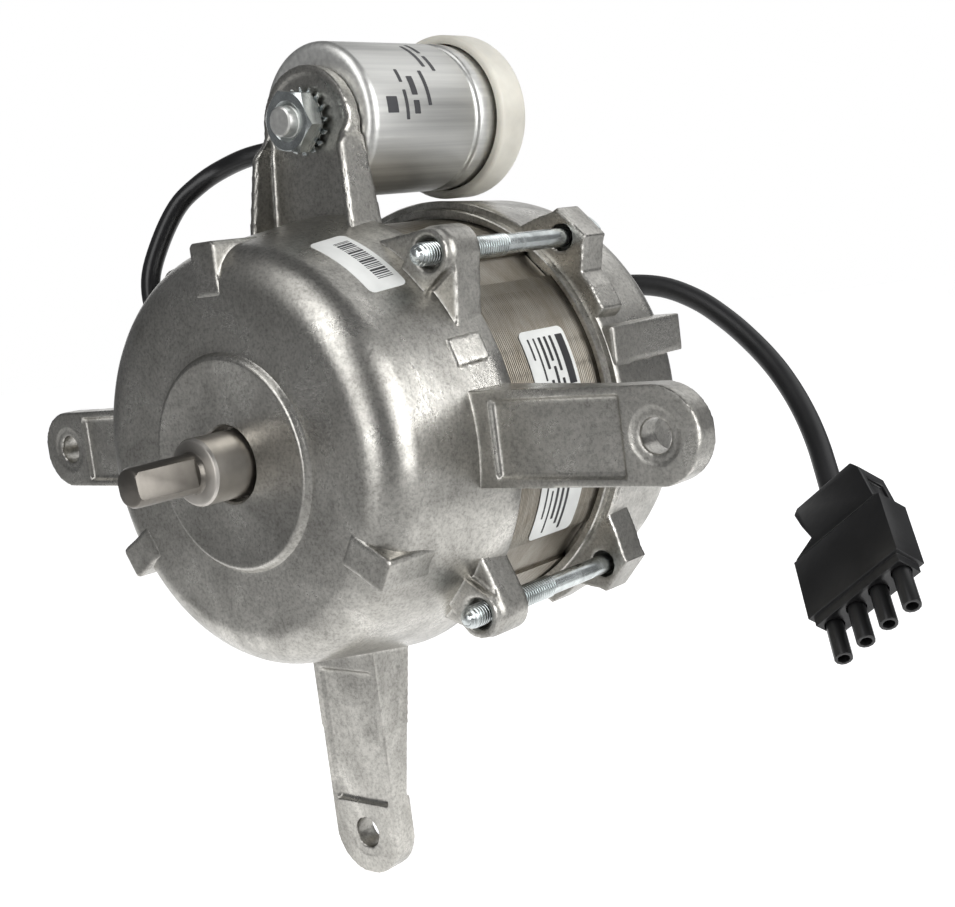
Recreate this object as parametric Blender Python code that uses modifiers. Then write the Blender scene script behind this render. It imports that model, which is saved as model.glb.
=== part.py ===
"""Oil burner blower motor: a small capacitor-run motor with a three-armed front shield.

The shaft lies along Y and points to -Y. The capacitor stands on the +Z side. The origin is
on the shaft's axis, in the plane of the three arm pads that the burner's flange meets.
All sizes are in metres, and angles in the XZ plane run from +X towards +Z.
"""
import math

import bmesh
import bpy
from mathutils import Matrix, Vector

MM = 0.001

# Clearances
GAP = 0.3 * MM                 # between pieces that touch
AIR_GAP = 0.3 * MM             # between the rotor and the stator bore
WELD = 0.00001                 # points closer than this are one point
OVERCUT = 5.0 * MM             # how far a cutter runs past what it cuts

# Shaft line, measured from the arm pads (y = 0) towards the back
PAD_TO_FACE = 24.0 * MM        # arm pads to the flat front face
SHIELD_DEPTH = 36.5 * MM       # front face to the rim that meets the stack
REGISTER_DEPTH = 2.0 * MM      # how deep the stack sits in each rim
STACK_LENGTH = 38.0 * MM
REAR_DEPTH = 32.0 * MM         # rear rim to the flat rear face
FACE_Y = -PAD_TO_FACE
RIM_Y = FACE_Y + SHIELD_DEPTH
STACK_FRONT = RIM_Y - REGISTER_DEPTH
STACK_BACK = STACK_FRONT + STACK_LENGTH
REAR_RIM_Y = STACK_BACK - REGISTER_DEPTH
REAR_FACE_Y = REAR_RIM_Y + REAR_DEPTH

# Stator stack
STACK_R = 47.5 * MM
BORE_SHARE = 0.59              # bore radius as a share of the stack's
SLOT_SHARE = 0.842             # slot bottoms, the same
BORE_R = BORE_SHARE * STACK_R
SLOTS = 24
SLOT_MOUTH = 1.1 * MM          # half width of the slot's mouth
SLOT_HALF = 2.1 * MM           # half width of the slot
SLOT_LIP = 1.6 * MM            # bore to the wide part of the slot
SLOT_TOP_R = BORE_R + SLOT_LIP
SLOT_BOTTOM_R = SLOT_SHARE * STACK_R
BOLT_NOTCH_DEPTH = 1.2 * MM    # flat-bottomed notches under the through bolts
BOLT_NOTCH_HALF_ANGLE = math.radians(7.0)

# Winding heads
HEAD_OVERHANG = 2.0 * MM       # how far the heads spread past the slots' bottoms
HEAD_OUTER_R = SLOT_BOTTOM_R + HEAD_OVERHANG
HEAD_INNER_R = SLOT_TOP_R + 2 * GAP
HEAD_LENGTH = 14.5 * MM
HEAD_ROUND = 2.5 * MM

# Front shield
WALL = 3.0 * MM
SHOULDER_R = 9.5 * MM          # radius of the front edge
RIM_WALL = 3.5 * MM            # metal around the stack at the rim
SKIRT_DRAFT = 4.2 * MM         # how much narrower the skirt is at the front
SKIRT_RIM_R = STACK_R + RIM_WALL
SKIRT_FRONT_R = SKIRT_RIM_R - SKIRT_DRAFT
DISC_R = 23.5 * MM             # raised disc in front of the bearing
DISC_RISE = 1.2 * MM
SHAFT_HOLE_R = 8.3 * MM
SEAT_WALL = 3.2 * MM           # metal between the disc's foot and the bearing pocket
HOUSING_WALL = 4.2 * MM        # metal around each bearing, inside the shields

# Centring blocks on the front edge
BLOCK_ANGLES = [math.radians(a) for a in (90.0, 210.0, 330.0)]
BLOCK_WIDTH = 7.5 * MM
BLOCK_SPAN = 11.0 * MM
BLOCK_RISE = 0.3 * MM          # in front of the flat face
BLOCK_OUTER_R = SKIRT_FRONT_R + 0.2 * MM
BLOCK_INNER_R = BLOCK_OUTER_R - BLOCK_SPAN
BLOCK_LENGTH = 11.0 * MM

# Cast pad on the skirt, above the right arm
PAD_ANGLE = math.radians(21.0)
PAD_HALF = 2.8 * MM
PAD_RISE = 1.3 * MM            # above the skirt at the pad's front end
PAD_FRONT = 19.0 * MM          # behind the front face
PAD_LENGTH = 10.7 * MM

# Arms
ARM_ANGLES = [math.radians(a) for a in (0.0, 180.0, 270.0)]
ARM_HOLE_DISTANCE = 92.5 * MM
ARM_HOLE_R = 3.5 * MM
ARM_END_R = 9.9 * MM
ARM_ROOT_HALF = ARM_END_R + 0.3 * MM
ARM_TIP_THICK = 4.8 * MM
ARM_BOSS_THICK = 5.7 * MM
ARM_BOSS_START = 8.5 * MM      # the end boss begins this far before the hole
PANEL_DEPTH = 1.0 * MM         # recess on the arm's front
PANEL_HALF = ARM_END_R - 1.9 * MM
PANEL_START = SKIRT_RIM_R + 0.5 * MM
PANEL_END = ARM_HOLE_DISTANCE - 7.5 * MM
SPOT_R = ARM_HOLE_R + 2.1 * MM
SPOT_DEPTH = 0.35 * MM
CORE_HALF = PANEL_HALF - 0.6 * MM      # cored pocket on the arm's back
CORE_START = SKIRT_RIM_R + WALL
CORE_END = ARM_HOLE_DISTANCE - 13.5 * MM
ARM_PLATE = 3.0 * MM           # metal left between the recess and the pocket

# Bolt circle
BOLT_ANGLES = [math.radians(a) for a in (44.2, 137.5, 224.2, 317.5)]
BOLT_OUT = 5.2 * MM            # front rim to the bolts' axes
BOLT_CIRCLE_R = SKIRT_RIM_R + BOLT_OUT
BOLT_R = 2.5 * MM
BOLT_SHANK_R = 2.2 * MM
BOLT_TIP_OUT = 4.2 * MM        # thread in front of the front lug
BOLT_THREAD = 29.5 * MM
BOLT_HEAD_AF = 7.0 * MM
BOLT_HEAD_HEIGHT = 2.4 * MM
REAR_HOLE_R = 2.9 * MM
HEAD_RELIEF_R = 5.2 * MM       # groove along the rear shield that the bolt's head sits in

# Front lugs
LUG_R = 5.7 * MM
LUG_FRONT = 1.66 * MM          # boss face behind the arm pads
LUG_PLATE_STEP = 2.6 * MM      # boss face to the flared plate behind it
LUG_FLARES = [math.radians(a) for a in (16.5, 11.0, 16.5, 11.0)]

# Rear lugs
REAR_LUG_SETBACK = 2.0 * MM    # rear rim to the lug's front
REAR_LUG_THICK = 8.5 * MM
REAR_LUG_REACH = BOLT_CIRCLE_R + 4.6 * MM  # axis to the lug's flat end
REAR_LUG_END_HALF = 5.2 * MM
REAR_LUG_HALF = 10.4 * MM

# Rear shield
REAR_BAND_R = STACK_R + 2.5 * MM       # turned band beside the register
REAR_WALL = 4.3 * MM           # metal around the stack at the back
REAR_R = STACK_R + REAR_WALL
REAR_DRAFT = 1.0 * MM          # how much narrower the skirt is at the back
REAR_SHOULDER_R = 8.5 * MM
REAR_HUB_RISE = 1.5 * MM
RIB_FACE = REAR_R - 1.4 * MM   # axis to the flat face of the two side ribs
RIB_LOW = 8.9 * MM
RIB_HIGH = 17.8 * MM
RIB_LENGTH = 29.0 * MM

# Capacitor
CAN_R = 17.7 * MM
CAN_LENGTH = 46.5 * MM
CAN_ROUND = 2.2 * MM
CAN_GROOVE = 0.8 * MM          # depth of the rolled groove
CAP_OVERLAP = 3.1 * MM         # end cap over the can
CAP_START = CAN_LENGTH - CAP_OVERLAP   # from the can's flat end
CAN_GROOVE_AT = CAP_START - 6.0 * MM
STUD_R = 4.0 * MM
STUD_LENGTH = 11.5 * MM
CAP_WALL = 2.0 * MM
CAP_R = CAN_R + GAP + CAP_WALL
CAP_LENGTH = 11.4 * MM
CAP_ROUND = 3.5 * MM
CAP_OVER_SHIELD = 0.4 * MM     # between the end cap and the rear shield
CAP_Z = REAR_R + CAP_OVER_SHIELD + CAP_R
NUT_AF = 13.0 * MM
NUT_HEIGHT = 4.7 * MM
NUT_TURN = math.radians(-12.5)
LOCK_WASHER_R = 7.5 * MM
LOCK_WASHER_ROOT_R = 6.3 * MM
LOCK_WASHER_THICK = 0.7 * MM
LOCK_WASHER_TEETH = 12

# Capacitor bracket, part of the front shield
BRACKET_FOOT_Z = SKIRT_FRONT_R - 2.3 * MM
BRACKET_BASE_HALF = 17.1 * MM
BRACKET_NECK_HALF = 14.4 * MM
BRACKET_NECK_Z = CAP_Z - 5.2 * MM
BRACKET_TOP_Z = CAP_Z + 12.4 * MM
BRACKET_HEAD_R = 14.0 * MM
BRACKET_PLATE = 3.0 * MM
BRACKET_BACK = 2.5 * MM        # plate's rear face behind the rim
BRACKET_RIB = 1.7 * MM
RIB_FRONT_LOW = 8.0 * MM       # rib's front ahead of the rim, at the foot
RIB_FRONT_HIGH = 5.3 * MM      # and where the rib ends
RIB_TOP_Z = CAP_Z - 6.7 * MM

# Shaft
SHAFT_R = 7.35 * MM
SHAFT_CORE_R = SHAFT_R + 1.65 * MM     # the thick middle that carries the rotor core
JOURNAL_OUT = 11.0 * MM        # journal in front of the face
SPIGOT_R = 4.28 * MM
SPIGOT_LENGTH = 17.0 * MM
FLAT_HALF = SPIGOT_R - 1.18 * MM       # axis to each of the two flats
FLAT_TURN = math.radians(6.0)
FLAT_STOP = 1.5 * MM           # round stretch before the journal
CHAMFER = 1.0 * MM

# Ball bearings
BEARING_R = 17.5 * MM
BEARING_WIDTH = 11.0 * MM
PITCH_R = (BEARING_R + SHAFT_R + GAP) / 2
BALL_R = 3.0 * MM
BALLS = 7
RACE_LAND = 0.7 * BALL_R       # pitch circle to the lands of both rings
RETAINER_THICK = 1.6 * MM
RETAINER_WIDTH = 2.8 * BALL_R
HOUSING_R = BEARING_R + GAP + HOUSING_WALL
REAR_HUB_R = HOUSING_R - 0.5 * MM
WAVE_THICK = 0.5 * MM
WAVE_RISE = 0.7 * MM
WAVES = 3

# Rotor
ROTOR_R = BORE_R - AIR_GAP
BARS = 18
BAR_R = 1.7 * MM
BAR_CIRCLE_R = ROTOR_R - 2 * BAR_R
BAR_TURN = 0.3                 # first bar from +X, as a share of the bars' pitch
END_RING_INNER_R = (SHAFT_CORE_R + BAR_CIRCLE_R) / 2
END_RING_OUTER_R = ROTOR_R - 2 * GAP
END_RING_LENGTH = 7.0 * MM

# Labels
PAPER = 0.15 * MM
LABEL_FRONT = 24.0 * MM        # rating label, from the arm pads
LABEL_WIDTH = 16.0 * MM
LABEL_FROM = math.radians(-34.7)
LABEL_TO = math.radians(24.3)
STICKER_FRONT = 13.5 * MM      # bar code sticker, from the front face
STICKER_WIDTH = 10.0 * MM
STICKER_FROM = math.radians(43.2)
STICKER_TO = math.radians(67.7)

# Capacitor lead in its sleeve
SLEEVE_R = 2.5 * MM
GROMMET_Y = 58.0 * MM
GROMMET_Z = 13.3 * MM
GROMMET_NECK_R = 4.2 * MM
GROMMET_FLANGE_R = 6.0 * MM
GROMMET_FLANGE = 1.8 * MM

# Supply cable and its strain relief
CABLE_R = 3.1 * MM
GLAND_NECK_R = 5.2 * MM
GLAND_FLANGE_R = 7.3 * MM
GLAND_DISTANCE = REAR_HUB_R + CHAMFER + GLAND_FLANGE_R + GAP
GLAND_X = -24.0 * MM
GLAND_Z = math.sqrt(GLAND_DISTANCE ** 2 - GLAND_X ** 2)
GLAND_FLANGE = 3.0 * MM
GLAND_BOOT = 20.0 * MM
GLAND_TIP_R = 4.1 * MM

# Plug, in its own frame: X along the contacts, Z back along the cable, origin where it enters
PLUG_AWAY = Vector((90.9, 14.9, -53.1)) * MM   # strain relief's tip to the plug
PLUG_TURN = [math.radians(a) for a in (-43.37, -36.94, 4.61)]
PLUG_THICK = 9.5 * MM
PLUG_LEFT = -14.0 * MM
PLUG_RIGHT = 16.1 * MM
PLUG_LOW = -34.6 * MM
PLUG_STEP = -15.6 * MM         # where the housing meets the cable clamp
CLAMP_SIDE = 1.8 * MM          # the clamp's outline, in from the housing's sides
CLAMP_SHOULDER = 3.5 * MM
CLAMP_CORNER = 5.4 * MM
CLAMP_NOTCH = 7.1 * MM
CLAMP_WAIST = 5.1 * MM
CLAMP_KNOB = 3.7 * MM
CLAMP_NOTCH_UP = 3.2 * MM      # and back from where it meets the housing
CLAMP_WAIST_UP = 8.6 * MM
CLAMP_KNOB_UP = 13.9 * MM
CLAMP_SHOULDER_UP = 12.4 * MM
CONTACTS = 4
CONTACT_PITCH = (PLUG_RIGHT - PLUG_LEFT) / CONTACTS
CONTACT_R = 2.3 * MM
CONTACT_BORE_R = 1.5 * MM
CONTACT_OUT = 13.0 * MM
CONTACT_IN = 7.0 * MM

STEPS = 48                     # facets round the big turned parts
SMALL_STEPS = 20


def new_collection(name):
    collection = bpy.data.collections.new(name)
    bpy.context.scene.collection.children.link(collection)
    return collection


for leftover in list(bpy.data.objects):
    bpy.data.objects.remove(leftover)
MOTOR = new_collection("oil_burner_blower_motor")
CUTTERS = new_collection("cutters")


def material(name, colour, roughness, metallic):
    """A plain surface with one colour."""
    made = bpy.data.materials.new(name)
    made.use_nodes = True
    shader = made.node_tree.nodes["Principled BSDF"]
    shader.inputs["Base Color"].default_value = (*colour, 1.0)
    shader.inputs["Roughness"].default_value = roughness
    shader.inputs["Metallic"].default_value = metallic
    return made


CAST = material("cast_aluminium", (0.46, 0.45, 0.42), 0.5, 0.9)
STEEL = material("ground_steel", (0.55, 0.54, 0.52), 0.3, 1.0)
ZINC = material("zinc_plate", (0.62, 0.66, 0.68), 0.3, 1.0)
LAMINATION = material("lamination_steel", (0.25, 0.22, 0.19), 0.55, 0.8)
COPPER = material("enamelled_copper", (0.50, 0.20, 0.08), 0.4, 0.6)
ALUMINIUM = material("drawn_aluminium", (0.75, 0.75, 0.74), 0.28, 1.0)
CREAM = material("cream_plastic", (0.78, 0.74, 0.62), 0.45, 0.0)
BLACK = material("black_plastic", (0.02, 0.02, 0.02), 0.5, 0.0)
SLEEVE = material("black_cable", (0.015, 0.015, 0.017), 0.4, 0.0)
PAPER_WHITE = material("white_label", (0.85, 0.86, 0.84), 0.4, 0.0)
BRASS = material("tinned_brass", (0.70, 0.66, 0.55), 0.3, 1.0)
NYLON = material("bearing_retainer", (0.10, 0.12, 0.10), 0.5, 0.0)


# Shapes

def arc(centre_x, centre_z, radius, start, end, count):
    """Points on an arc, both ends included."""
    angles = [start + (end - start) * i / (count - 1) for i in range(count)]
    return [(centre_x + radius * math.cos(a), centre_z + radius * math.sin(a)) for a in angles]


def circle(radius, count, centre_x=0.0, centre_z=0.0):
    full = math.tau * (count - 1) / count
    return arc(centre_x, centre_z, radius, 0.0, full, count)


def place(obj, surface=None, collection=None):
    (collection or MOTOR).objects.link(obj)
    if surface:
        obj.data.materials.append(surface)
    return obj


def turned(name, profile, surface=None, steps=STEPS, centre=(0.0, 0.0), collection=None):
    """Turn a profile of (radius, y) points about a line along Y through centre (x, z)."""
    ring = list(profile)
    following = ring[1:] + ring[:1]
    area = sum(a[0] * b[1] - b[0] * a[1] for a, b in zip(ring, following))
    if area > 0.0:
        ring.reverse()
    edges = [(i, i + 1) for i in range(len(ring) - 1)]
    touches_axis = min(radius for radius, y in ring) < WELD
    if not touches_axis:
        edges.append((len(ring) - 1, 0))
    else:
        start = next(i for i in range(len(ring))
                     if ring[i][0] < WELD and ring[i - 1][0] < WELD)
        ring = ring[start:] + ring[:start]
    mesh = bpy.data.meshes.new(name)
    mesh.from_pydata([(radius, 0.0, y) for radius, y in ring], edges, [])
    obj = place(bpy.data.objects.new(name, mesh), surface, collection)
    obj.location = (centre[0], 0.0, centre[1])
    obj.rotation_euler = (-math.pi / 2, 0.0, 0.0)
    screw = obj.modifiers.new("turn", "SCREW")
    screw.axis = "Z"
    screw.angle = math.tau
    screw.steps = steps
    screw.render_steps = steps
    screw.use_merge_vertices = True
    screw.merge_threshold = WELD
    screw.use_smooth_shade = True
    return obj


def frozen(obj):
    """Swap an object for a plain mesh object of the same shape, name and place."""
    bpy.context.view_layer.update()
    graph = bpy.context.evaluated_depsgraph_get()
    mesh = bpy.data.meshes.new_from_object(obj.evaluated_get(graph))
    shell = bmesh.new()
    shell.from_mesh(mesh)
    bmesh.ops.remove_doubles(shell, verts=shell.verts, dist=WELD)
    bmesh.ops.recalc_face_normals(shell, faces=shell.faces)
    shell.to_mesh(mesh)
    shell.free()
    name = obj.name
    home = obj.users_collection[0]
    solid = bpy.data.objects.new("solid", mesh)
    solid.matrix_world = obj.matrix_world.copy()
    home.objects.link(solid)
    bpy.data.objects.remove(obj)
    solid.name = name
    return solid


def outline_solid(name, loops, thickness, surface, collection):
    """A flat outline with holes, thickened both ways from its own XY plane."""
    curve = bpy.data.curves.new(name, "CURVE")
    curve.dimensions = "2D"
    curve.fill_mode = "BOTH"
    curve.extrude = thickness / 2
    for loop in loops:
        spline = curve.splines.new("POLY")
        spline.points.add(len(loop) - 1)
        for point, (across, up) in zip(spline.points, loop):
            point.co = (across, up, 0.0, 1.0)
        spline.use_cyclic_u = True
    return place(bpy.data.objects.new(name, curve), surface, collection)


def plate(name, loops, front, back, surface=None, collection=None):
    """Outlines in (x, z), filled from y = front to y = back."""
    obj = outline_solid(name, loops, back - front, surface, collection)
    obj.rotation_euler = (math.pi / 2, 0.0, 0.0)
    obj.location = (0.0, (front + back) / 2, 0.0)
    return frozen(obj)


def side_plate(name, outline, low, high, collection=None):
    """An outline in (x, y), filled from z = low to z = high."""
    obj = outline_solid(name, [outline], high - low, None, collection)
    obj.location = (0.0, 0.0, (low + high) / 2)
    return frozen(obj)


def cross_plate(name, outline, half_width, collection=None):
    """An outline in (y, z), filled to half_width on both sides of x = 0."""
    obj = outline_solid(name, [outline], 2 * half_width, None, collection)
    obj.rotation_euler = (math.pi / 2, 0.0, math.pi / 2)
    return frozen(obj)


def box(name, low, high, surface=None, collection=None):
    """A box between two corners."""
    shell = bmesh.new()
    bmesh.ops.create_cube(shell, size=1.0)
    size = [b - a for a, b in zip(low, high)]
    middle = [(a + b) / 2 for a, b in zip(low, high)]
    bmesh.ops.scale(shell, vec=size, verts=shell.verts)
    bmesh.ops.translate(shell, vec=middle, verts=shell.verts)
    mesh = bpy.data.meshes.new(name)
    shell.to_mesh(mesh)
    shell.free()
    return place(bpy.data.objects.new(name, mesh), surface, collection)


def rod(name, radius, front, back, centre, collection=None, steps=SMALL_STEPS):
    """A round bar along Y."""
    profile = [(0.0, front), (radius, front), (radius, back), (0.0, back)]
    return turned(name, profile, None, steps, centre, collection)


def round_about(obj, angles):
    """Copies of an object turned about the shaft's axis; the object itself goes first."""
    bpy.context.view_layer.update()
    start = obj.matrix_world.copy()
    copies = []
    for i, angle in enumerate(angles):
        twin = obj
        if i > 0:
            twin = bpy.data.objects.new(obj.name, obj.data)
            obj.users_collection[0].objects.link(twin)
        twin.matrix_world = Matrix.Rotation(-angle, 4, "Y") @ start
        copies.append(twin)
    return copies


def boolean(target, tool, operation):
    """Add, cut or keep the shared part, and put the tool with the cutters."""
    change = target.modifiers.new(tool.name, "BOOLEAN")
    change.operation = operation
    change.solver = "EXACT"
    change.object = tool
    for collection in list(tool.users_collection):
        collection.objects.unlink(tool)
    CUTTERS.objects.link(tool)
    tool.hide_render = True
    tool.display_type = "WIRE"


def add(target, *tools):
    for tool in tools:
        boolean(target, tool, "UNION")


def cut(target, *tools):
    for tool in tools:
        boolean(target, tool, "DIFFERENCE")


def on_circle(radius, angle):
    return (radius * math.cos(angle), radius * math.sin(angle))


def smooth_route(knots, spacing):
    """Evenly spread points on a smooth curve through the knots."""
    ends = [2 * knots[0] - knots[1], *knots, 2 * knots[-1] - knots[-2]]
    fine = []
    for before, start, end, after in zip(ends, ends[1:], ends[2:], ends[3:]):
        for i in range(24):
            t = i / 24
            bend = (2 * before - 5 * start + 4 * end - after) * t * t
            bend += (3 * start - before - 3 * end + after) * t ** 3
            fine.append(start + ((end - before) * t + bend) / 2)
    fine.append(knots[-1])
    length = sum((b - a).length for a, b in zip(fine, fine[1:]))
    pieces = max(2, round(length / spacing))
    route = [fine[0]]
    walked = 0.0
    for a, b in zip(fine, fine[1:]):
        step = (b - a).length
        while step > 0.0 and walked + step >= length * len(route) / pieces and len(route) < pieces:
            share = (length * len(route) / pieces - walked) / step
            route.append(a.lerp(b, share))
        walked += step
    return route + [fine[-1]]


def tube(name, knots, radius, surface):
    """A round cord along a smooth route, with a straight stretch at each end."""
    curve = bpy.data.curves.new(name, "CURVE")
    curve.dimensions = "3D"
    curve.bevel_depth = radius
    curve.bevel_resolution = 2
    curve.use_fill_caps = True
    route = [knots[0], *smooth_route(knots[1:-1], 4 * radius), knots[-1]]
    spline = curve.splines.new("POLY")
    spline.points.add(len(route) - 1)
    for point, spot in zip(spline.points, route):
        point.co = (*spot, 1.0)
    return place(bpy.data.objects.new(name, curve), surface)


# Castings

def shoulder(radius, y, size, start, end, count=6):
    """Points round the edge of a turned shell, as (radius, y)."""
    return arc(radius, y, size, math.radians(start), math.radians(end), count)


def arm_outline():
    half_turn = arc(ARM_HOLE_DISTANCE, 0.0, ARM_END_R, -math.pi / 2, math.pi / 2, 11)
    root = SKIRT_FRONT_R - WALL
    return [(root, -ARM_ROOT_HALF), *half_turn, (root, ARM_ROOT_HALF)]


def front_lug_outline(flare):
    """The plate behind a bolt boss, flaring into the skirt on both sides."""
    foot = SKIRT_RIM_R - WALL / 2
    low = on_circle(foot, -flare)
    high = on_circle(foot, flare)
    reach = math.radians(68.0)
    tip = arc(BOLT_CIRCLE_R, 0.0, LUG_R, -reach, reach, 8)
    return [low, *tip, high]


def front_boss_outline():
    tip = arc(BOLT_CIRCLE_R, 0.0, LUG_R - GAP, -math.pi / 2, math.pi / 2, 8)
    foot = SKIRT_FRONT_R - WALL / 2
    return [(foot, -LUG_R + WALL / 2), *tip, (foot, LUG_R - WALL / 2)]


def bracket_outline(inset):
    """The capacitor bracket seen from the front, drawn in by inset."""
    centre_z = BRACKET_TOP_Z - BRACKET_HEAD_R
    neck = BRACKET_NECK_HALF - inset
    head = BRACKET_HEAD_R - inset
    lean = math.radians(-12.0)
    top = arc(0.0, centre_z, head, lean, math.pi - lean, 19)
    base = BRACKET_BASE_HALF - inset
    return [(base, BRACKET_FOOT_Z), (neck, BRACKET_NECK_Z), *top,
            (-neck, BRACKET_NECK_Z), (-base, BRACKET_FOOT_Z)]


def front_cavity():
    """The hollow inside the front shield: shaft hole, bearing pocket, bell and register."""
    pocket_floor = FACE_Y + SEAT_WALL - GAP
    pocket_mouth = pocket_floor + BEARING_WIDTH + GAP
    pocket_r = BEARING_R + GAP
    floor = FACE_Y + WALL
    edge = SHOULDER_R - WALL
    corner_r = SKIRT_FRONT_R - SHOULDER_R
    register = STACK_R + GAP
    return [
        (0.0, FACE_Y - OVERCUT), (SHAFT_HOLE_R, FACE_Y - OVERCUT), (SHAFT_HOLE_R, pocket_floor),
        (pocket_r, pocket_floor), (pocket_r, pocket_mouth), (HOUSING_R, pocket_mouth),
        (HOUSING_R + CHAMFER, floor),
        *shoulder(corner_r, FACE_Y + SHOULDER_R, edge, -90.0, 0.0, 4),
        (SKIRT_RIM_R - 2 * WALL, STACK_FRONT - GAP), (register, STACK_FRONT - GAP),
        (register, RIM_Y + 2 * OVERCUT), (0.0, RIM_Y + 2 * OVERCUT)]


def front_shield():
    corner_r = SKIRT_FRONT_R - SHOULDER_R
    outside = [
        (0.0, FACE_Y - DISC_RISE), (DISC_R - CHAMFER, FACE_Y - DISC_RISE), (DISC_R, FACE_Y),
        *shoulder(corner_r, FACE_Y + SHOULDER_R, SHOULDER_R, -90.0, 0.0, 7),
        (SKIRT_RIM_R, RIM_Y), (0.0, RIM_Y)]
    shield = turned("front_shield", outside, CAST)

    block = box("centring_block", (BLOCK_INNER_R, FACE_Y - BLOCK_RISE, -BLOCK_WIDTH / 2),
                (BLOCK_OUTER_R, FACE_Y + BLOCK_LENGTH, BLOCK_WIDTH / 2))
    add(shield, *round_about(block, BLOCK_ANGLES))

    slope = (SKIRT_RIM_R - SKIRT_FRONT_R) / (SHIELD_DEPTH - SHOULDER_R)
    pad_top = SKIRT_FRONT_R + slope * (PAD_FRONT - SHOULDER_R) + PAD_RISE
    pad = box("skirt_pad", (pad_top - WALL - PAD_RISE, FACE_Y + PAD_FRONT, -PAD_HALF),
              (pad_top, FACE_Y + PAD_FRONT + PAD_LENGTH, PAD_HALF))
    add(shield, *round_about(pad, [PAD_ANGLE]))

    arm = plate("arm", [arm_outline()], 0.0, RIM_Y)
    add(shield, *round_about(arm, ARM_ANGLES))
    lug_front = LUG_FRONT + LUG_PLATE_STEP
    for angle, flare in zip(BOLT_ANGLES, LUG_FLARES):
        lug = plate("bolt_lug", [front_lug_outline(flare)], lug_front, RIM_Y)
        add(shield, *round_about(lug, [angle]))
    boss = plate("bolt_boss", [front_boss_outline()], LUG_FRONT, RIM_Y - WALL)
    add(shield, *round_about(boss, BOLT_ANGLES))

    plate_back = RIM_Y + BRACKET_BACK
    bracket = plate("bracket", [bracket_outline(0.0)], RIM_Y - RIB_FRONT_LOW, plate_back)
    channel = plate("bracket_channel", [bracket_outline(BRACKET_RIB)],
                    RIM_Y - RIB_FRONT_LOW - OVERCUT, plate_back - BRACKET_PLATE)
    head_front = plate_back - BRACKET_PLATE - GAP
    slope = cross_plate("bracket_slope", [
        (RIM_Y - RIB_FRONT_LOW, BRACKET_FOOT_Z), (RIM_Y - RIB_FRONT_HIGH, RIB_TOP_Z),
        (head_front, RIB_TOP_Z + 5 * MM), (head_front, BRACKET_TOP_Z + OVERCUT),
        (FACE_Y, BRACKET_TOP_Z + OVERCUT), (FACE_Y, BRACKET_FOOT_Z)], 2 * BRACKET_BASE_HALF)
    cut(bracket, channel, slope)
    add(shield, frozen_tool(bracket))

    taper = side_plate("arm_taper", [
        (SKIRT_RIM_R + GAP, RIM_Y), (ARM_HOLE_DISTANCE - ARM_BOSS_START - CHAMFER, ARM_TIP_THICK),
        (ARM_HOLE_DISTANCE - ARM_BOSS_START, ARM_BOSS_THICK),
        (ARM_HOLE_DISTANCE + 2 * ARM_END_R, ARM_BOSS_THICK),
        (ARM_HOLE_DISTANCE + 2 * ARM_END_R, RIM_Y + OVERCUT), (SKIRT_RIM_R + GAP, RIM_Y + OVERCUT)],
        -ARM_ROOT_HALF - OVERCUT, ARM_ROOT_HALF + OVERCUT)
    core = box("arm_core", (CORE_START, PANEL_DEPTH + ARM_PLATE, -CORE_HALF),
               (CORE_END, RIM_Y + OVERCUT, CORE_HALF))
    panel = box("arm_panel", (PANEL_START, -OVERCUT, -PANEL_HALF),
                (PANEL_END, PANEL_DEPTH, PANEL_HALF))
    for cutter in (taper, core, panel):
        cut(shield, *round_about(cutter, ARM_ANGLES))
    cut(shield, turned("front_cavity", front_cavity()))
    for angle in ARM_ANGLES:
        spot = on_circle(ARM_HOLE_DISTANCE, angle)
        hole = [(0.0, -OVERCUT), (SPOT_R, -OVERCUT), (SPOT_R, SPOT_DEPTH), (ARM_HOLE_R, SPOT_DEPTH),
                (ARM_HOLE_R, RIM_Y), (0.0, RIM_Y)]
        cut(shield, turned("arm_hole", hole, None, SMALL_STEPS, spot))
    for angle in BOLT_ANGLES:
        spot = on_circle(BOLT_CIRCLE_R, angle)
        cut(shield, rod("tapped_hole", BOLT_R + GAP, -OVERCUT, RIM_Y + OVERCUT, spot, steps=12))
    cut(shield, rod("stud_hole", STUD_R + GAP, 0.0, plate_back + OVERCUT, (0.0, CAP_Z), steps=16))
    return shield


def frozen_tool(obj):
    """Freeze an object that other tools have shaped, and remove those tools."""
    tools = [change.object for change in obj.modifiers if change.type == "BOOLEAN"]
    solid = frozen(obj)
    for tool in tools:
        bpy.data.objects.remove(tool)
    return solid


def rear_lug_outline():
    foot = REAR_R - 2 * WALL
    knee = (REAR_LUG_REACH + REAR_R) / 2
    side = (REAR_LUG_END_HALF + REAR_LUG_HALF) / 2
    half = [(foot, REAR_LUG_HALF), (REAR_R - WALL, REAR_LUG_HALF), (knee, side),
            (REAR_LUG_REACH, REAR_LUG_END_HALF)]
    return half + [(reach, -across) for reach, across in reversed(half)]


def rear_seat_y():
    """The floor of the rear bearing pocket."""
    return REAR_FACE_Y + REAR_HUB_RISE - SEAT_WALL - WALL / 2


def rear_bearing_front():
    return rear_seat_y() - 2 * GAP - WAVE_THICK - WAVE_RISE - BEARING_WIDTH


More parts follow.
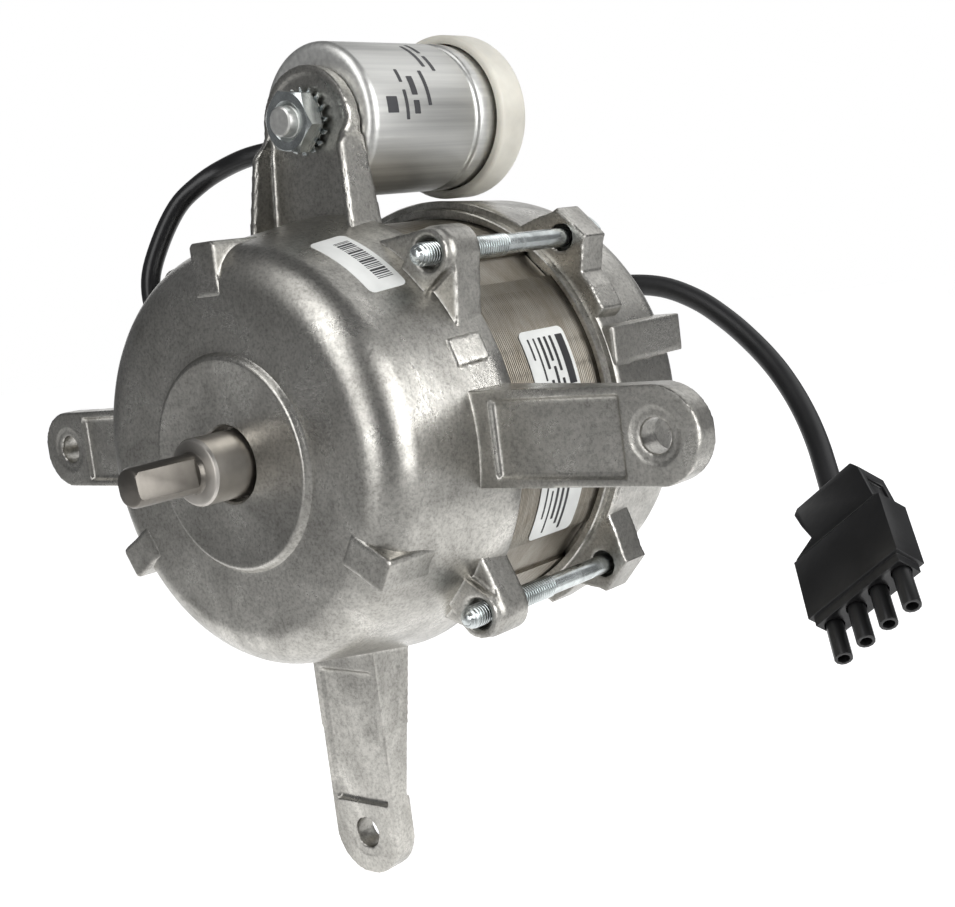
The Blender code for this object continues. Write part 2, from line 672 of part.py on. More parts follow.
def rear_shield():
    corner_r = REAR_R - REAR_DRAFT - REAR_SHOULDER_R
    corner_y = REAR_FACE_Y - REAR_SHOULDER_R
    outside = [
        (0.0, REAR_RIM_Y), (REAR_BAND_R, REAR_RIM_Y), (REAR_BAND_R, REAR_RIM_Y + REAR_LUG_SETBACK),
        (REAR_R, REAR_RIM_Y + REAR_LUG_SETBACK),
        *shoulder(corner_r, corner_y, REAR_SHOULDER_R, 0.0, 90.0, 7),
        (REAR_HUB_R + CHAMFER, REAR_FACE_Y), (REAR_HUB_R, REAR_FACE_Y + REAR_HUB_RISE),
        (0.0, REAR_FACE_Y + REAR_HUB_RISE)]
    shield = turned("rear_shield", outside, CAST)

    lug_front = REAR_RIM_Y + REAR_LUG_SETBACK
    lug_back = lug_front + REAR_LUG_THICK
    lug = plate("rear_lug", [rear_lug_outline()], lug_front, lug_back)
    add(shield, *round_about(lug, BOLT_ANGLES))
    rib = box("side_rib", (corner_r - WALL, lug_front + GAP, RIB_LOW),
              (RIB_FACE, lug_front + RIB_LENGTH, RIB_HIGH))
    add(shield, *round_about(rib, (0.0, math.pi)))

    register = STACK_R + GAP
    floor = REAR_FACE_Y - WALL
    pocket_mouth = rear_bearing_front() - GAP
    wall_r = register - REGISTER_DEPTH
    cavity = [
        (0.0, REAR_RIM_Y - OVERCUT), (register, REAR_RIM_Y - OVERCUT), (register, STACK_BACK + GAP),
        (wall_r, STACK_BACK + GAP),
        *shoulder(corner_r, corner_y, REAR_SHOULDER_R - 1.5 * WALL, 0.0, 90.0, 4),
        (HOUSING_R + CHAMFER, floor), (HOUSING_R, pocket_mouth), (BEARING_R + GAP, pocket_mouth),
        (BEARING_R + GAP, rear_seat_y()), (0.0, rear_seat_y())]
    cut(shield, turned("rear_cavity", cavity))
    for angle in BOLT_ANGLES:
        spot = on_circle(BOLT_CIRCLE_R, angle)
        hole = [(0.0, REAR_RIM_Y), (REAR_HOLE_R, REAR_RIM_Y), (REAR_HOLE_R, lug_back),
                (HEAD_RELIEF_R, lug_back), (HEAD_RELIEF_R, REAR_FACE_Y), (0.0, REAR_FACE_Y)]
        cut(shield, turned("bolt_hole", hole, None, 12, spot))
    gland_spot = (GLAND_X, GLAND_Z)
    cut(shield, rod("gland_hole", GLAND_NECK_R + GAP, floor - OVERCUT, REAR_FACE_Y + OVERCUT,
                    gland_spot, steps=16))
    cut(shield, side_rod("grommet_hole", GROMMET_NECK_R + GAP, -REAR_R - OVERCUT,
                         -wall_r + OVERCUT))
    return shield


def side_rod(name, radius, left, right):
    """A round bar along X at the grommet's place."""
    bar = rod(name, radius, left, right, (0.0, 0.0), steps=16)
    bar.rotation_euler = (0.0, math.pi / 2, 0.0)
    bar.location = (0.0, GROMMET_Y, GROMMET_Z)
    return bar


# Stator and rotor

def lamination_loops(clearance):
    """Outer edge and bore of one lamination; a clearance narrows its slots."""
    outer = []
    notch_r = STACK_R - BOLT_NOTCH_DEPTH
    for angle in BOLT_ANGLES:
        start = angle - BOLT_NOTCH_HALF_ANGLE
        end = angle + BOLT_NOTCH_HALF_ANGLE
        turn = math.pi / 2 - 2 * BOLT_NOTCH_HALF_ANGLE
        outer += arc(0.0, 0.0, notch_r, start, end, 3)
        outer += arc(0.0, 0.0, STACK_R, end, end + turn, 12)
    bore = []
    mouth = SLOT_MOUTH - clearance
    half = SLOT_HALF - clearance
    top = SLOT_TOP_R + clearance
    bottom = SLOT_BOTTOM_R - clearance
    for i in range(SLOTS):
        angle = math.tau * i / SLOTS
        lip = math.sqrt(BORE_R ** 2 - mouth ** 2)
        side = [(lip, -mouth), (top, -mouth), (top, -half), (bottom, -half)]
        slot = side + [(out, -across) for out, across in reversed(side)]
        for out, across in slot:
            bore.append((out * math.cos(angle) - across * math.sin(angle),
                         out * math.sin(angle) + across * math.cos(angle)))
    return [outer, bore]


def stator():
    plate("stator_core", lamination_loops(0.0), STACK_FRONT, STACK_BACK, LAMINATION)
    front = STACK_FRONT - HEAD_LENGTH
    back = STACK_BACK + HEAD_LENGTH
    heads = turned("stator_winding", [
        (HEAD_INNER_R, front), (HEAD_OUTER_R - HEAD_ROUND, front), (HEAD_OUTER_R, front + HEAD_ROUND),
        (HEAD_OUTER_R, back - HEAD_ROUND), (HEAD_OUTER_R - HEAD_ROUND, back), (HEAD_INNER_R, back)],
        COPPER, 32)
    cut(heads, plate("slot_walls", lamination_loops(GAP), STACK_FRONT - GAP, STACK_BACK + GAP))


def core_loops(hole_r):
    """Outer edge, bore and bar holes of one rotor lamination."""
    loops = [circle(ROTOR_R, 36), circle(SHAFT_CORE_R + GAP, 16)]
    for i in range(BARS):
        centre = on_circle(BAR_CIRCLE_R, math.tau * (i + BAR_TURN) / BARS)
        loops.append(circle(hole_r, 6, *centre))
    return loops


def rotor():
    plate("rotor_core", core_loops(BAR_R + GAP), STACK_FRONT, STACK_BACK, LAMINATION)
    front = STACK_FRONT - END_RING_LENGTH
    back = STACK_BACK + END_RING_LENGTH
    cage = turned("rotor_cage", [
        (END_RING_INNER_R, front), (END_RING_OUTER_R, front), (END_RING_OUTER_R, back),
        (END_RING_INNER_R, back)], ALUMINIUM, 28)
    cut(cage, plate("core_walls", core_loops(BAR_R), STACK_FRONT - GAP, STACK_BACK + GAP))


def shaft():
    journal_front = FACE_Y - JOURNAL_OUT
    tip = journal_front - SPIGOT_LENGTH
    core_front = front_bearing_front() + BEARING_WIDTH + GAP
    core_back = rear_bearing_front() - GAP
    end = rear_bearing_front() + BEARING_WIDTH
    spindle = turned("shaft", [
        (0.0, tip), (SPIGOT_R - CHAMFER / 2, tip), (SPIGOT_R, tip + CHAMFER / 2),
        (SPIGOT_R, journal_front), (SHAFT_R - CHAMFER, journal_front),
        (SHAFT_R, journal_front + CHAMFER), (SHAFT_R, core_front), (SHAFT_CORE_R, core_front),
        (SHAFT_CORE_R, core_back), (SHAFT_R, core_back), (SHAFT_R, end - CHAMFER / 2),
        (SHAFT_R - CHAMFER / 2, end), (0.0, end)], STEEL, 24)
    flat = box("shaft_flat", (FLAT_HALF, tip - OVERCUT, -SHAFT_R),
               (SHAFT_R, journal_front - FLAT_STOP, SHAFT_R))
    cut(spindle, *round_about(flat, (FLAT_TURN, FLAT_TURN + math.pi)))


# Bearings

def front_bearing_front():
    return FACE_Y + SEAT_WALL


def race(radius, land_r, groove_r, front, end):
    """A bearing ring's section: radius is its plain side, land_r the side with the groove."""
    middle = (front + end) / 2
    reach = math.sqrt(max(groove_r ** 2 - (land_r - PITCH_R) ** 2, 0.0))
    side = 1.0 if land_r > PITCH_R else -1.0
    sweep = math.asin(reach / groove_r)
    groove = []
    for i in range(5):
        angle = sweep * (1 - i / 2)
        groove.append((PITCH_R + side * groove_r * math.cos(angle),
                       middle + groove_r * math.sin(angle)))
    return [(radius, front), (radius, end), (land_r, end), *groove, (land_r, front)]


def bearing(end_name, front):
    """A deep-groove ball bearing: two rings, a retainer and its balls."""
    end = front + BEARING_WIDTH
    middle = (front + end) / 2
    groove_r = BALL_R + GAP
    turned(end_name + "_bearing_outer_ring",
           race(BEARING_R, PITCH_R + RACE_LAND, groove_r, front, end), STEEL, SMALL_STEPS)
    turned(end_name + "_bearing_inner_ring",
           race(SHAFT_R + GAP, PITCH_R - RACE_LAND, groove_r, front, end), STEEL, SMALL_STEPS)
    inner = PITCH_R - RETAINER_THICK / 2
    outer = PITCH_R + RETAINER_THICK / 2
    ring = [(inner, middle - RETAINER_WIDTH / 2), (outer, middle - RETAINER_WIDTH / 2),
            (outer, middle + RETAINER_WIDTH / 2), (inner, middle + RETAINER_WIDTH / 2)]
    retainer = turned(end_name + "_bearing_retainer", ring, NYLON, SMALL_STEPS)
    pocket = rod("ball_pocket", BALL_R + 2 * GAP, inner - OVERCUT, outer + OVERCUT, (0, 0), steps=10)
    pocket.location = (0.0, middle, 0.0)
    pocket.rotation_euler = (0.0, math.pi / 2, 0.0)
    angles = [math.tau * i / BALLS for i in range(BALLS)]
    cut(retainer, *round_about(frozen(pocket), angles))
    shell = bmesh.new()
    bmesh.ops.create_icosphere(shell, subdivisions=2, radius=BALL_R)
    mesh = bpy.data.meshes.new(end_name + "_bearing_ball")
    shell.to_mesh(mesh)
    shell.free()
    mesh.shade_smooth()
    mesh.materials.append(STEEL)
    for i, angle in enumerate(angles):
        ball = bpy.data.objects.new(f"{end_name}_bearing_ball_{i + 1}", mesh)
        x, z = on_circle(PITCH_R, angle)
        ball.location = (x, middle, z)
        MOTOR.objects.link(ball)


def wave_washer():
    """The spring washer that loads the rear bearing."""
    back = rear_seat_y() - GAP
    inner = PITCH_R + RACE_LAND
    outer = BEARING_R - GAP
    flat = [(inner, back - WAVE_THICK), (outer, back - WAVE_THICK), (outer, back), (inner, back)]
    ring = frozen(turned("wave_washer", flat, STEEL, 24))
    for vertex in ring.data.vertices:
        x, y, z = vertex.co
        vertex.co.z = z - WAVE_RISE * (1 + math.cos(WAVES * math.atan2(y, x))) / 2


# Fasteners

def hexagon(across_flats, turn):
    return arc(0.0, 0.0, across_flats / math.sqrt(3), turn, turn + math.tau * 5 / 6, 6)


def through_bolts():
    """Four long bolts, a flat of each head facing outward, and their tips out in front."""
    tip = LUG_FRONT - BOLT_TIP_OUT
    seat = REAR_RIM_Y + REAR_LUG_SETBACK + REAR_LUG_THICK + GAP
    thread_end = tip + BOLT_THREAD
    pin = turned("through_bolt", [
        (0.0, tip), (BOLT_R / 2, tip), (BOLT_R, tip + CHAMFER), (BOLT_R, thread_end),
        (BOLT_SHANK_R, thread_end + CHAMFER / 2), (BOLT_SHANK_R, seat + CHAMFER),
        (0.0, seat + CHAMFER)], ZINC, 12)
    head = plate("bolt_head", [hexagon(BOLT_HEAD_AF, math.pi / 6)], seat, seat + BOLT_HEAD_HEIGHT)
    add(pin, head)
    pattern = frozen_tool(pin)
    for i, angle in enumerate(BOLT_ANGLES):
        bolt = bpy.data.objects.new(f"through_bolt_{i + 1}", pattern.data)
        MOTOR.objects.link(bolt)
        outward = Matrix.Rotation(-angle, 4, "Y") @ Matrix.Translation((BOLT_CIRCLE_R, 0.0, 0.0))
        bolt.matrix_world = outward @ pattern.matrix_world
    bpy.data.objects.remove(pattern)


def capacitor():
    """The run capacitor on its stud, with its nut, toothed washer and end cap."""
    seat = RIM_Y + BRACKET_BACK
    base = seat + GAP
    tip = seat - STUD_LENGTH
    groove = base + CAN_GROOVE_AT
    edge_r = CAN_R - CAN_ROUND
    turned("capacitor_can", [
        (0.0, tip), (STUD_R - CHAMFER, tip), (STUD_R, tip + CHAMFER), (STUD_R, base),
        *arc(edge_r, base + CAN_ROUND, CAN_ROUND, -math.pi / 2, 0.0, 4),
        (CAN_R, groove - CHAMFER), (CAN_R - CAN_GROOVE, groove), (CAN_R, groove + CHAMFER),
        (CAN_R, base + CAN_LENGTH), (0.0, base + CAN_LENGTH)], ALUMINIUM, 32, (0.0, CAP_Z))

    cap_front = base + CAP_START
    cap_back = cap_front + CAP_LENGTH
    inner_r = CAN_R + GAP
    turned("capacitor_end_cap", [
        (inner_r, cap_front), (CAP_R - CHAMFER / 2, cap_front), (CAP_R, cap_front + CHAMFER / 2),
        *arc(CAP_R - CAP_ROUND, cap_back - CAP_ROUND, CAP_ROUND, 0.0, math.pi / 2, 4),
        (SLEEVE_R + GAP, cap_back),
        (SLEEVE_R + GAP, cap_back - CAP_WALL), (inner_r, cap_back - CAP_WALL)],
        CREAM, 32, (0.0, CAP_Z))

    plate_front = seat - BRACKET_PLATE - GAP
    washer_back = plate_front - GAP
    washer_front = washer_back - LOCK_WASHER_THICK
    teeth = []
    for i in range(LOCK_WASHER_TEETH):
        angle = math.tau * i / LOCK_WASHER_TEETH
        pitch = math.tau / LOCK_WASHER_TEETH
        teeth += arc(0.0, 0.0, LOCK_WASHER_R, angle, angle + pitch * 0.45, 2)
        teeth += arc(0.0, 0.0, LOCK_WASHER_ROOT_R, angle + pitch * 0.6, angle + pitch * 0.85, 2)
    washer = plate("capacitor_lock_washer", [teeth, circle(STUD_R + GAP, 16)],
                   washer_front, washer_back, ZINC)
    washer.location.z = CAP_Z

    nut_back = washer_front - GAP
    nut_front = nut_back - NUT_HEIGHT
    nut = plate("capacitor_nut", [hexagon(NUT_AF, NUT_TURN), circle(STUD_R + GAP, 16)],
                nut_front, nut_back, ZINC)
    nut.location.z = CAP_Z
    corner_r = NUT_AF / math.sqrt(3) + GAP
    barrel = turned("nut_chamfer", [
        (0.0, nut_front - GAP), (NUT_AF / 2 - GAP, nut_front - GAP), (corner_r, nut_front + CHAMFER),
        (corner_r, nut_back + GAP), (0.0, nut_back + GAP)], None, 24, (0.0, CAP_Z))
    boolean(nut, barrel, "INTERSECT")
    return Vector((0.0, cap_back, CAP_Z))


# Labels

def sector(name, start, end, front, back):
    """A wedge about the shaft's axis, used to keep one stretch of a ring."""
    reach = 2 * STACK_R
    return plate(name, [[(0.0, 0.0), *arc(0.0, 0.0, reach, start, end, 5)]], front, back)


def labels():
    label_end = LABEL_FRONT + LABEL_WIDTH
    ring_r = STACK_R + GAP
    label = turned("rating_label", [
        (ring_r, LABEL_FRONT), (ring_r + PAPER, LABEL_FRONT), (ring_r + PAPER, label_end),
        (ring_r, label_end)], PAPER_WHITE, 60)
    boolean(label, sector("label_stretch", LABEL_FROM, LABEL_TO, LABEL_FRONT - GAP,
                          label_end + GAP), "INTERSECT")

    front = FACE_Y + STICKER_FRONT
    end = front + STICKER_WIDTH
    slope = (SKIRT_RIM_R - SKIRT_FRONT_R) / (SHIELD_DEPTH - SHOULDER_R)
    front_r = SKIRT_FRONT_R + slope * (STICKER_FRONT - SHOULDER_R) + GAP
    end_r = front_r + slope * STICKER_WIDTH
    sticker = turned("barcode_sticker", [
        (front_r, front), (front_r + PAPER, front), (end_r + PAPER, end), (end_r, end)],
        PAPER_WHITE, 90)
    boolean(sticker, sector("sticker_stretch", STICKER_FROM, STICKER_TO, front - GAP, end + GAP),
            "INTERSECT")


# Leads and plug

def capacitor_lead(cap_end):
    """The sleeved lead from the capacitor's end cap round its left side to the rear shield."""
    hole = Vector((-REAR_R - GROMMET_FLANGE - GAP, GROMMET_Y, GROMMET_Z))
    from_cap = [(0.0, -2.0, 0.0), (0.0, 3.9, 0.0), (-1.5, 10.9, 0.0), (-8.0, 17.4, 0.0),
                (-17.5, 16.9, 0.0), (-23.8, 7.9, 0.0), (-25.0, -8.1, -0.2), (-28.0, -24.1, -1.0),
                (-34.3, -33.1, -2.2), (-43.5, -37.1, -3.0), (-52.3, -39.1, -5.0),
                (-58.2, -42.1, -8.0), (-63.0, -46.1, -12.8)]
    from_hole = [(-12.0, -39.0, 37.5), (-13.3, -43.0, 28.0), (-13.9, -42.0, 18.7),
                 (-14.2, -35.0, 9.7), (-14.0, -22.0, 3.2), (-12.3, -9.5, 0.7), (-9.1, -2.0, 0.0),
                 (-4.6, 0.0, 0.0), (0.0, 0.0, 0.0)]
    knots = [cap_end + Vector(step) * MM for step in from_cap]
    knots += [hole + Vector(step) * MM for step in from_hole]
    inside = Vector((-HEAD_OUTER_R - 3 * MM, GROMMET_Y, GROMMET_Z))
    tube("capacitor_lead", knots + [inside], SLEEVE_R, SLEEVE)

    outer = REAR_R + GROMMET_FLANGE
    flange_r = math.sqrt(REAR_R ** 2 - (GROMMET_Z - GROMMET_FLANGE_R) ** 2) + GAP
    grommet = turned("lead_grommet", [
        (SLEEVE_R + GAP, -outer), (GROMMET_FLANGE_R, -outer), (GROMMET_FLANGE_R, -flange_r),
        (GROMMET_NECK_R, -flange_r), (GROMMET_NECK_R, -flange_r + 2 * WALL),
        (SLEEVE_R + GAP, -flange_r + 2 * WALL)], BLACK, 16)
    grommet.rotation_euler = (0.0, math.pi / 2, 0.0)
    grommet.location = (0.0, GROMMET_Y, GROMMET_Z)


def supply_cable():
    """The strain relief on the rear face and the cable to the plug."""
    flange_front = REAR_FACE_Y + GAP
    boot_front = flange_front + GLAND_FLANGE
    tip = boot_front + GLAND_BOOT
    neck_end = REAR_FACE_Y - WALL - GLAND_FLANGE
    turned("cable_gland", [
        (0.0, neck_end), (GLAND_NECK_R, neck_end), (GLAND_NECK_R, flange_front),
        (GLAND_FLANGE_R, flange_front), (GLAND_FLANGE_R, boot_front),
        (GLAND_NECK_R + CHAMFER, boot_front), (GLAND_TIP_R, tip), (0.0, tip)],
        BLACK, 20, (GLAND_X, GLAND_Z))
    start = Vector((GLAND_X, tip + GAP, GLAND_Z))
    bends = [(0.0, 0.0, 0.0), (0.0, 2.4, 0.0), (1.0, 11.8, 0.9), (4.3, 22.1, 2.7),
             (9.9, 31.4, 4.4), (17.6, 39.2, 4.8), (26.7, 44.9, 2.9), (36.1, 47.8, -1.9),
             (45.0, 48.2, -8.3), (53.5, 46.6, -15.1), (61.5, 43.5, -21.9), (68.8, 39.0, -28.7),
             (75.5, 33.4, -35.4), (81.5, 27.1, -42.0), (87.0, 20.1, -48.4)]
    knots = [start + Vector(step) * MM for step in bends] + [start + PLUG_AWAY]
    tube("supply_cable", knots, CABLE_R, SLEEVE)
    return start + PLUG_AWAY


def plug(entry):
    """A flat four-way plug: a housing, a cable clamp and four sleeve contacts."""
    frame = bpy.data.objects.new("plug_frame", None)
    MOTOR.objects.link(frame)
    frame.location = entry
    frame.rotation_euler = PLUG_TURN
    half = PLUG_THICK / 2
    low = PLUG_LOW
    step = PLUG_STEP
    housing = plate("plug_housing", [[
        (PLUG_LEFT, low), (PLUG_RIGHT, low), (PLUG_RIGHT, step), (PLUG_LEFT, step)]],
        -half, half, BLACK)
    lip = plate("plug_lip", [[
        (PLUG_LEFT + CHAMFER, low - 2.5 * MM), (PLUG_RIGHT - CHAMFER, low - 2.5 * MM),
        (PLUG_RIGHT - CHAMFER, low + CHAMFER), (PLUG_LEFT + CHAMFER, low + CHAMFER)]],
        -half + CHAMFER, half - CHAMFER)
    add(housing, lip)
    clamp_top = -GAP
    clamp = plate("plug_clamp", [[
        (PLUG_LEFT + CHAMFER / 2, step + GAP), (PLUG_RIGHT - CHAMFER / 2, step + GAP),
        (PLUG_RIGHT - CLAMP_SIDE, step + CHAMFER),
        (PLUG_RIGHT - CLAMP_SHOULDER, step + CLAMP_SHOULDER_UP),
        (PLUG_RIGHT - CLAMP_CORNER, clamp_top), (PLUG_LEFT + CLAMP_WAIST, clamp_top),
        (PLUG_LEFT + CLAMP_KNOB, step + CLAMP_KNOB_UP),
        (PLUG_LEFT + CLAMP_WAIST, step + CLAMP_WAIST_UP),
        (PLUG_LEFT + CLAMP_NOTCH, step + CLAMP_NOTCH_UP)]], -half, half, BLACK)
    screw_spot = (0.0, step / 2)
    recess = rod("clamp_screw_recess", 2.6 * MM, -half - OVERCUT, -half + 2 * MM, screw_spot)
    cut(clamp, recess)

    contact = turned("contact", [
        (CONTACT_BORE_R, -CONTACT_OUT), (CONTACT_R, -CONTACT_OUT), (CONTACT_R, CONTACT_IN),
        (CONTACT_BORE_R, CONTACT_IN)], None, 12)
    pattern = frozen(contact)
    centre = (PLUG_LEFT + PLUG_RIGHT) / 2
    for i in range(CONTACTS):
        across = centre + CONTACT_PITCH * (i - (CONTACTS - 1) / 2)
        sleeve = bpy.data.objects.new(f"plug_contact_{i + 1}", pattern.data)
        MOTOR.objects.link(sleeve)
        sleeve.parent = frame
        sleeve.location = (across, 0.0, low)
        if i == 0:
            pattern.data.materials.append(BRASS)
        hole = rod("contact_hole", CONTACT_R + GAP, -OVERCUT, CONTACT_IN + GAP, (0.0, 0.0), steps=12)
        hole.parent = frame
        hole.rotation_euler = (0.0, 0.0, 0.0)
        hole.location = (across, 0.0, low)
        cut(housing, hole)
    bpy.data.objects.remove(pattern)
    for piece in (housing, lip, clamp, recess):
        piece.parent = frame


def build():
    front_shield()
    rear_shield()
    stator()
    rotor()
    shaft()
    bearing("front", front_bearing_front())
    bearing("rear", rear_bearing_front())
    wave_washer()
    through_bolts()
    cap_end = capacitor()
    labels()
    capacitor_lead(cap_end)
    plug(supply_cable())


build()
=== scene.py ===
import math

import bmesh
import bpy
from mathutils import Euler, Matrix, Vector


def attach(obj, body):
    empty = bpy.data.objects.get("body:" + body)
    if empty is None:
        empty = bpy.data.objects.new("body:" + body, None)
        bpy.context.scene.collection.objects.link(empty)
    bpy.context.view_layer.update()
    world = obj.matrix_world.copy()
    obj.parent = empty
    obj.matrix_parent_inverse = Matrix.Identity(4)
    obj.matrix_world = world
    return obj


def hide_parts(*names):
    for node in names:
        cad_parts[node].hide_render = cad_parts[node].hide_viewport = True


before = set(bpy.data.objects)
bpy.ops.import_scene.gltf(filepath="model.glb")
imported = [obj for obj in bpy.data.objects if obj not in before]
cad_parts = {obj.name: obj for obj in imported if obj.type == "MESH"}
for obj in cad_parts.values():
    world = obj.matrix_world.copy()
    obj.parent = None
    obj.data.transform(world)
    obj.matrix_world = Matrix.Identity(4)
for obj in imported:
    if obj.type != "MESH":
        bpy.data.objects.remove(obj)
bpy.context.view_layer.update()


# Camera
# The picture is taken from the front right, a little above the shaft, with the camera
# rolled slightly, so that the arms lean in the frame.
MM = 0.001
CAMERA_PLACE = Vector((254.5, -241.1, 38.5)) * MM
CAMERA_AZIMUTH = math.radians(40.51)
CAMERA_ELEVATION = math.radians(7.41)
CAMERA_ROLL = math.radians(-7.19)
camera_data = bpy.data.cameras.new("camera")
camera_data.sensor_width = 36.0
camera_data.lens = 58.32
camera_data.clip_start = 0.01
camera = bpy.data.objects.new("camera", camera_data)
bpy.context.scene.collection.objects.link(camera)
camera.matrix_world = (Matrix.Translation(CAMERA_PLACE)
                       @ Matrix.Rotation(CAMERA_AZIMUTH, 4, "Z")
                       @ Matrix.Rotation(math.pi / 2 - CAMERA_ELEVATION, 4, "X")
                       @ Matrix.Rotation(CAMERA_ROLL, 4, "Z"))
bpy.context.scene.camera = camera
bpy.context.scene.view_settings.view_transform = "Standard"


# Studio
# A strip of pale paper lies under the lowest arm, with a pale wall behind. A tall soft box stands
# in front of the shaft and reaches overhead, one stands to the right, and a weak one hangs behind.
FLOOR_Z = -0.1035
FLOOR_BEHIND = 1.0
FLOOR_LENGTH = 2.8
WALL_Z = 0.6
WALL_BEHIND = 2.3
WALL_HEIGHT = 1.5
PAPER_WIDTH = 2.2
LAMP_DISTANCE = 1.2


def new_surface(name):
    """A new material with its node tree, its main shader and the object's own coordinates."""
    made = bpy.data.materials.new(name)
    made.use_nodes = True
    tree = made.node_tree
    place = tree.nodes.new("ShaderNodeTexCoord")
    return made, tree, tree.nodes["Principled BSDF"], place.outputs["Object"]


def feed(tree, node, values):
    """Each input gets its value, or follows the output that is given for it."""
    for socket, value in values.items():
        if isinstance(value, bpy.types.NodeSocket):
            tree.links.new(value, node.inputs[socket])
        else:
            node.inputs[socket].default_value = value


def add_node(tree, kind, values, **settings):
    node = tree.nodes.new("ShaderNode" + kind)
    for setting, value in settings.items():
        setattr(node, setting, value)
    feed(tree, node, values)
    return node


def maths(tree, operation, *values):
    return add_node(tree, "Math", dict(enumerate(values)), operation=operation).outputs[0]


def rise(tree, value, low, high):
    """0 up to low, 1 from high on, and a smooth step between."""
    step = add_node(tree, "MapRange", {"Value": value, "From Min": low, "From Max": high},
                    interpolation_type="SMOOTHSTEP")
    return step.outputs["Result"]


def studio_white(name, shade, glow_strength, keeps_shadow):
    """A matt white that reads as plain white in view and in gloss, and lights nothing."""
    made, tree, shader, place = new_surface(name)
    feed(tree, shader, {"Base Color": (shade, shade, shade, 1.0), "Roughness": 0.9,
                        "Specular IOR Level": 0.1})
    rays = tree.nodes.new("ShaderNodeLightPath").outputs
    mirrored = maths(tree, "MAXIMUM", rays["Is Glossy Ray"], rays["Is Transmission Ray"])
    share = maths(tree, "MAXIMUM", rays["Is Camera Ray"], mirrored)
    glow = add_node(tree, "Emission", {"Strength": glow_strength}).outputs[0]
    if keeps_shadow:
        # The glow starts just in front of the motor and widens away from the camera, so that
        # the front faces don't mirror it.
        glow = add_node(tree, "AddShader", {0: shader.outputs[0], 1: glow}).outputs[0]
        spot = add_node(tree, "SeparateXYZ", {0: place}).outputs
        half_width = maths(tree, "MULTIPLY_ADD", spot["Y"], 0.40, 0.56)
        margin = maths(tree, "SUBTRACT", half_width, maths(tree, "ABSOLUTE", spot["X"]))
        zone = maths(tree, "MULTIPLY", rise(tree, spot["Y"], -1.12, -1.04),
                     rise(tree, margin, -0.06, 0.0))
        share = maths(tree, "MULTIPLY", zone, share)
    mix = add_node(tree, "MixShader", {0: share, 1: shader.outputs[0], 2: glow})
    tree.links.new(mix.outputs[0], tree.nodes["Material Output"].inputs["Surface"])
    return made


def as_object(name, lump):
    mesh = bpy.data.meshes.new(name)
    lump.to_mesh(mesh)
    lump.free()
    made = bpy.data.objects.new(name, mesh)
    bpy.context.scene.collection.objects.link(made)
    return made


def studio_plane(name, centre, length, turn, surface):
    shell = bmesh.new()
    bmesh.ops.create_grid(shell, x_segments=1, y_segments=1, size=0.5)
    bmesh.ops.scale(shell, vec=(PAPER_WIDTH, length, 1.0), verts=shell.verts[:])
    plane = as_object(name, shell)
    plane.matrix_world = Matrix.Translation(centre) @ turn
    plane.data.materials.append(surface)


facing = Matrix.Rotation(CAMERA_AZIMUTH, 4, "Z")
behind = Vector((-math.sin(CAMERA_AZIMUTH), math.cos(CAMERA_AZIMUTH), 0.0))
studio_plane("floor", behind * FLOOR_BEHIND + Vector((0.0, 0.0, FLOOR_Z)), FLOOR_LENGTH, facing,
             studio_white("floor_white", 0.78, 0.82, True))
studio_plane("wall", behind * WALL_BEHIND + Vector((0.0, 0.0, WALL_Z)), WALL_HEIGHT,
             facing @ Matrix.Rotation(math.pi / 2, 4, "X"),
             studio_white("wall_white", 0.93, 1.0, False))

world = bpy.data.worlds.new("studio")
world.use_nodes = True
feed(world.node_tree, world.node_tree.nodes["Background"],
     {"Color": (0.80, 0.81, 0.83, 1.0), "Strength": 0.17})
bpy.context.scene.world = world


def soft_box(name, azimuth, elevation, width, height, power):
    """A rectangular lamp that looks at the motor; azimuth 0 is in front of the shaft."""
    light = bpy.data.lights.new(name, "AREA")
    light.shape = "RECTANGLE"
    light.size = width
    light.size_y = height
    light.energy = power
    a, e = math.radians(azimuth), math.radians(elevation)
    back = Vector((math.sin(a) * math.cos(e), -math.cos(a) * math.cos(e), math.sin(e)))
    lamp = bpy.data.objects.new(name, light)
    lamp.location = back * LAMP_DISTANCE
    lamp.rotation_mode = "QUATERNION"
    lamp.rotation_quaternion = back.to_track_quat("Z", "Y")
    bpy.context.scene.collection.objects.link(lamp)


soft_box("front_box", azimuth=3.0, elevation=30.0, width=0.62, height=2.2, power=10.8)
soft_box("right_box", azimuth=98.0, elevation=12.0, width=0.95, height=1.1, power=12.8)
soft_box("rear_box", azimuth=168.0, elevation=42.0, width=0.9, height=0.95, power=2.3)


# Supply cable
# A round three-core cable in black PVC. It leaves the rear shield through a moulded boot
# and hangs in one easy bend to the plug, which weighs its free end down.
def noise(tree, place, scale, detail, **more):
    values = {"Vector": place, "Scale": scale, "Detail": detail, **more}
    return add_node(tree, "TexNoise", values).outputs["Fac"]


def blend(tree, factor, low, high, low_colour, high_colour):
    """One colour up to low and another from high on, mixed between."""
    ramp = tree.nodes.new("ShaderNodeValToRGB")
    stops = ramp.color_ramp.elements
    for stop, position, colour in zip(stops, (low, high), (low_colour, high_colour)):
        stop.position = position
        stop.color = (*colour, 1.0)
    tree.links.new(factor, ramp.inputs["Fac"])
    return ramp.outputs["Color"]


def gloss(tree, factor, first, last, low=0.0, high=1.0):
    """Roughness that goes from first to last as a factor goes from low to high."""
    spread = add_node(tree, "MapRange", {"Value": factor, "From Min": low, "From Max": high,
                                         "To Min": first, "To Max": last})
    return spread.outputs["Result"]


def relief(tree, height, strength, depth):
    """A fine surface grain, with its depth in metres."""
    grain = add_node(tree, "Bump", {"Height": height, "Strength": strength, "Distance": depth})
    return grain.outputs["Normal"]


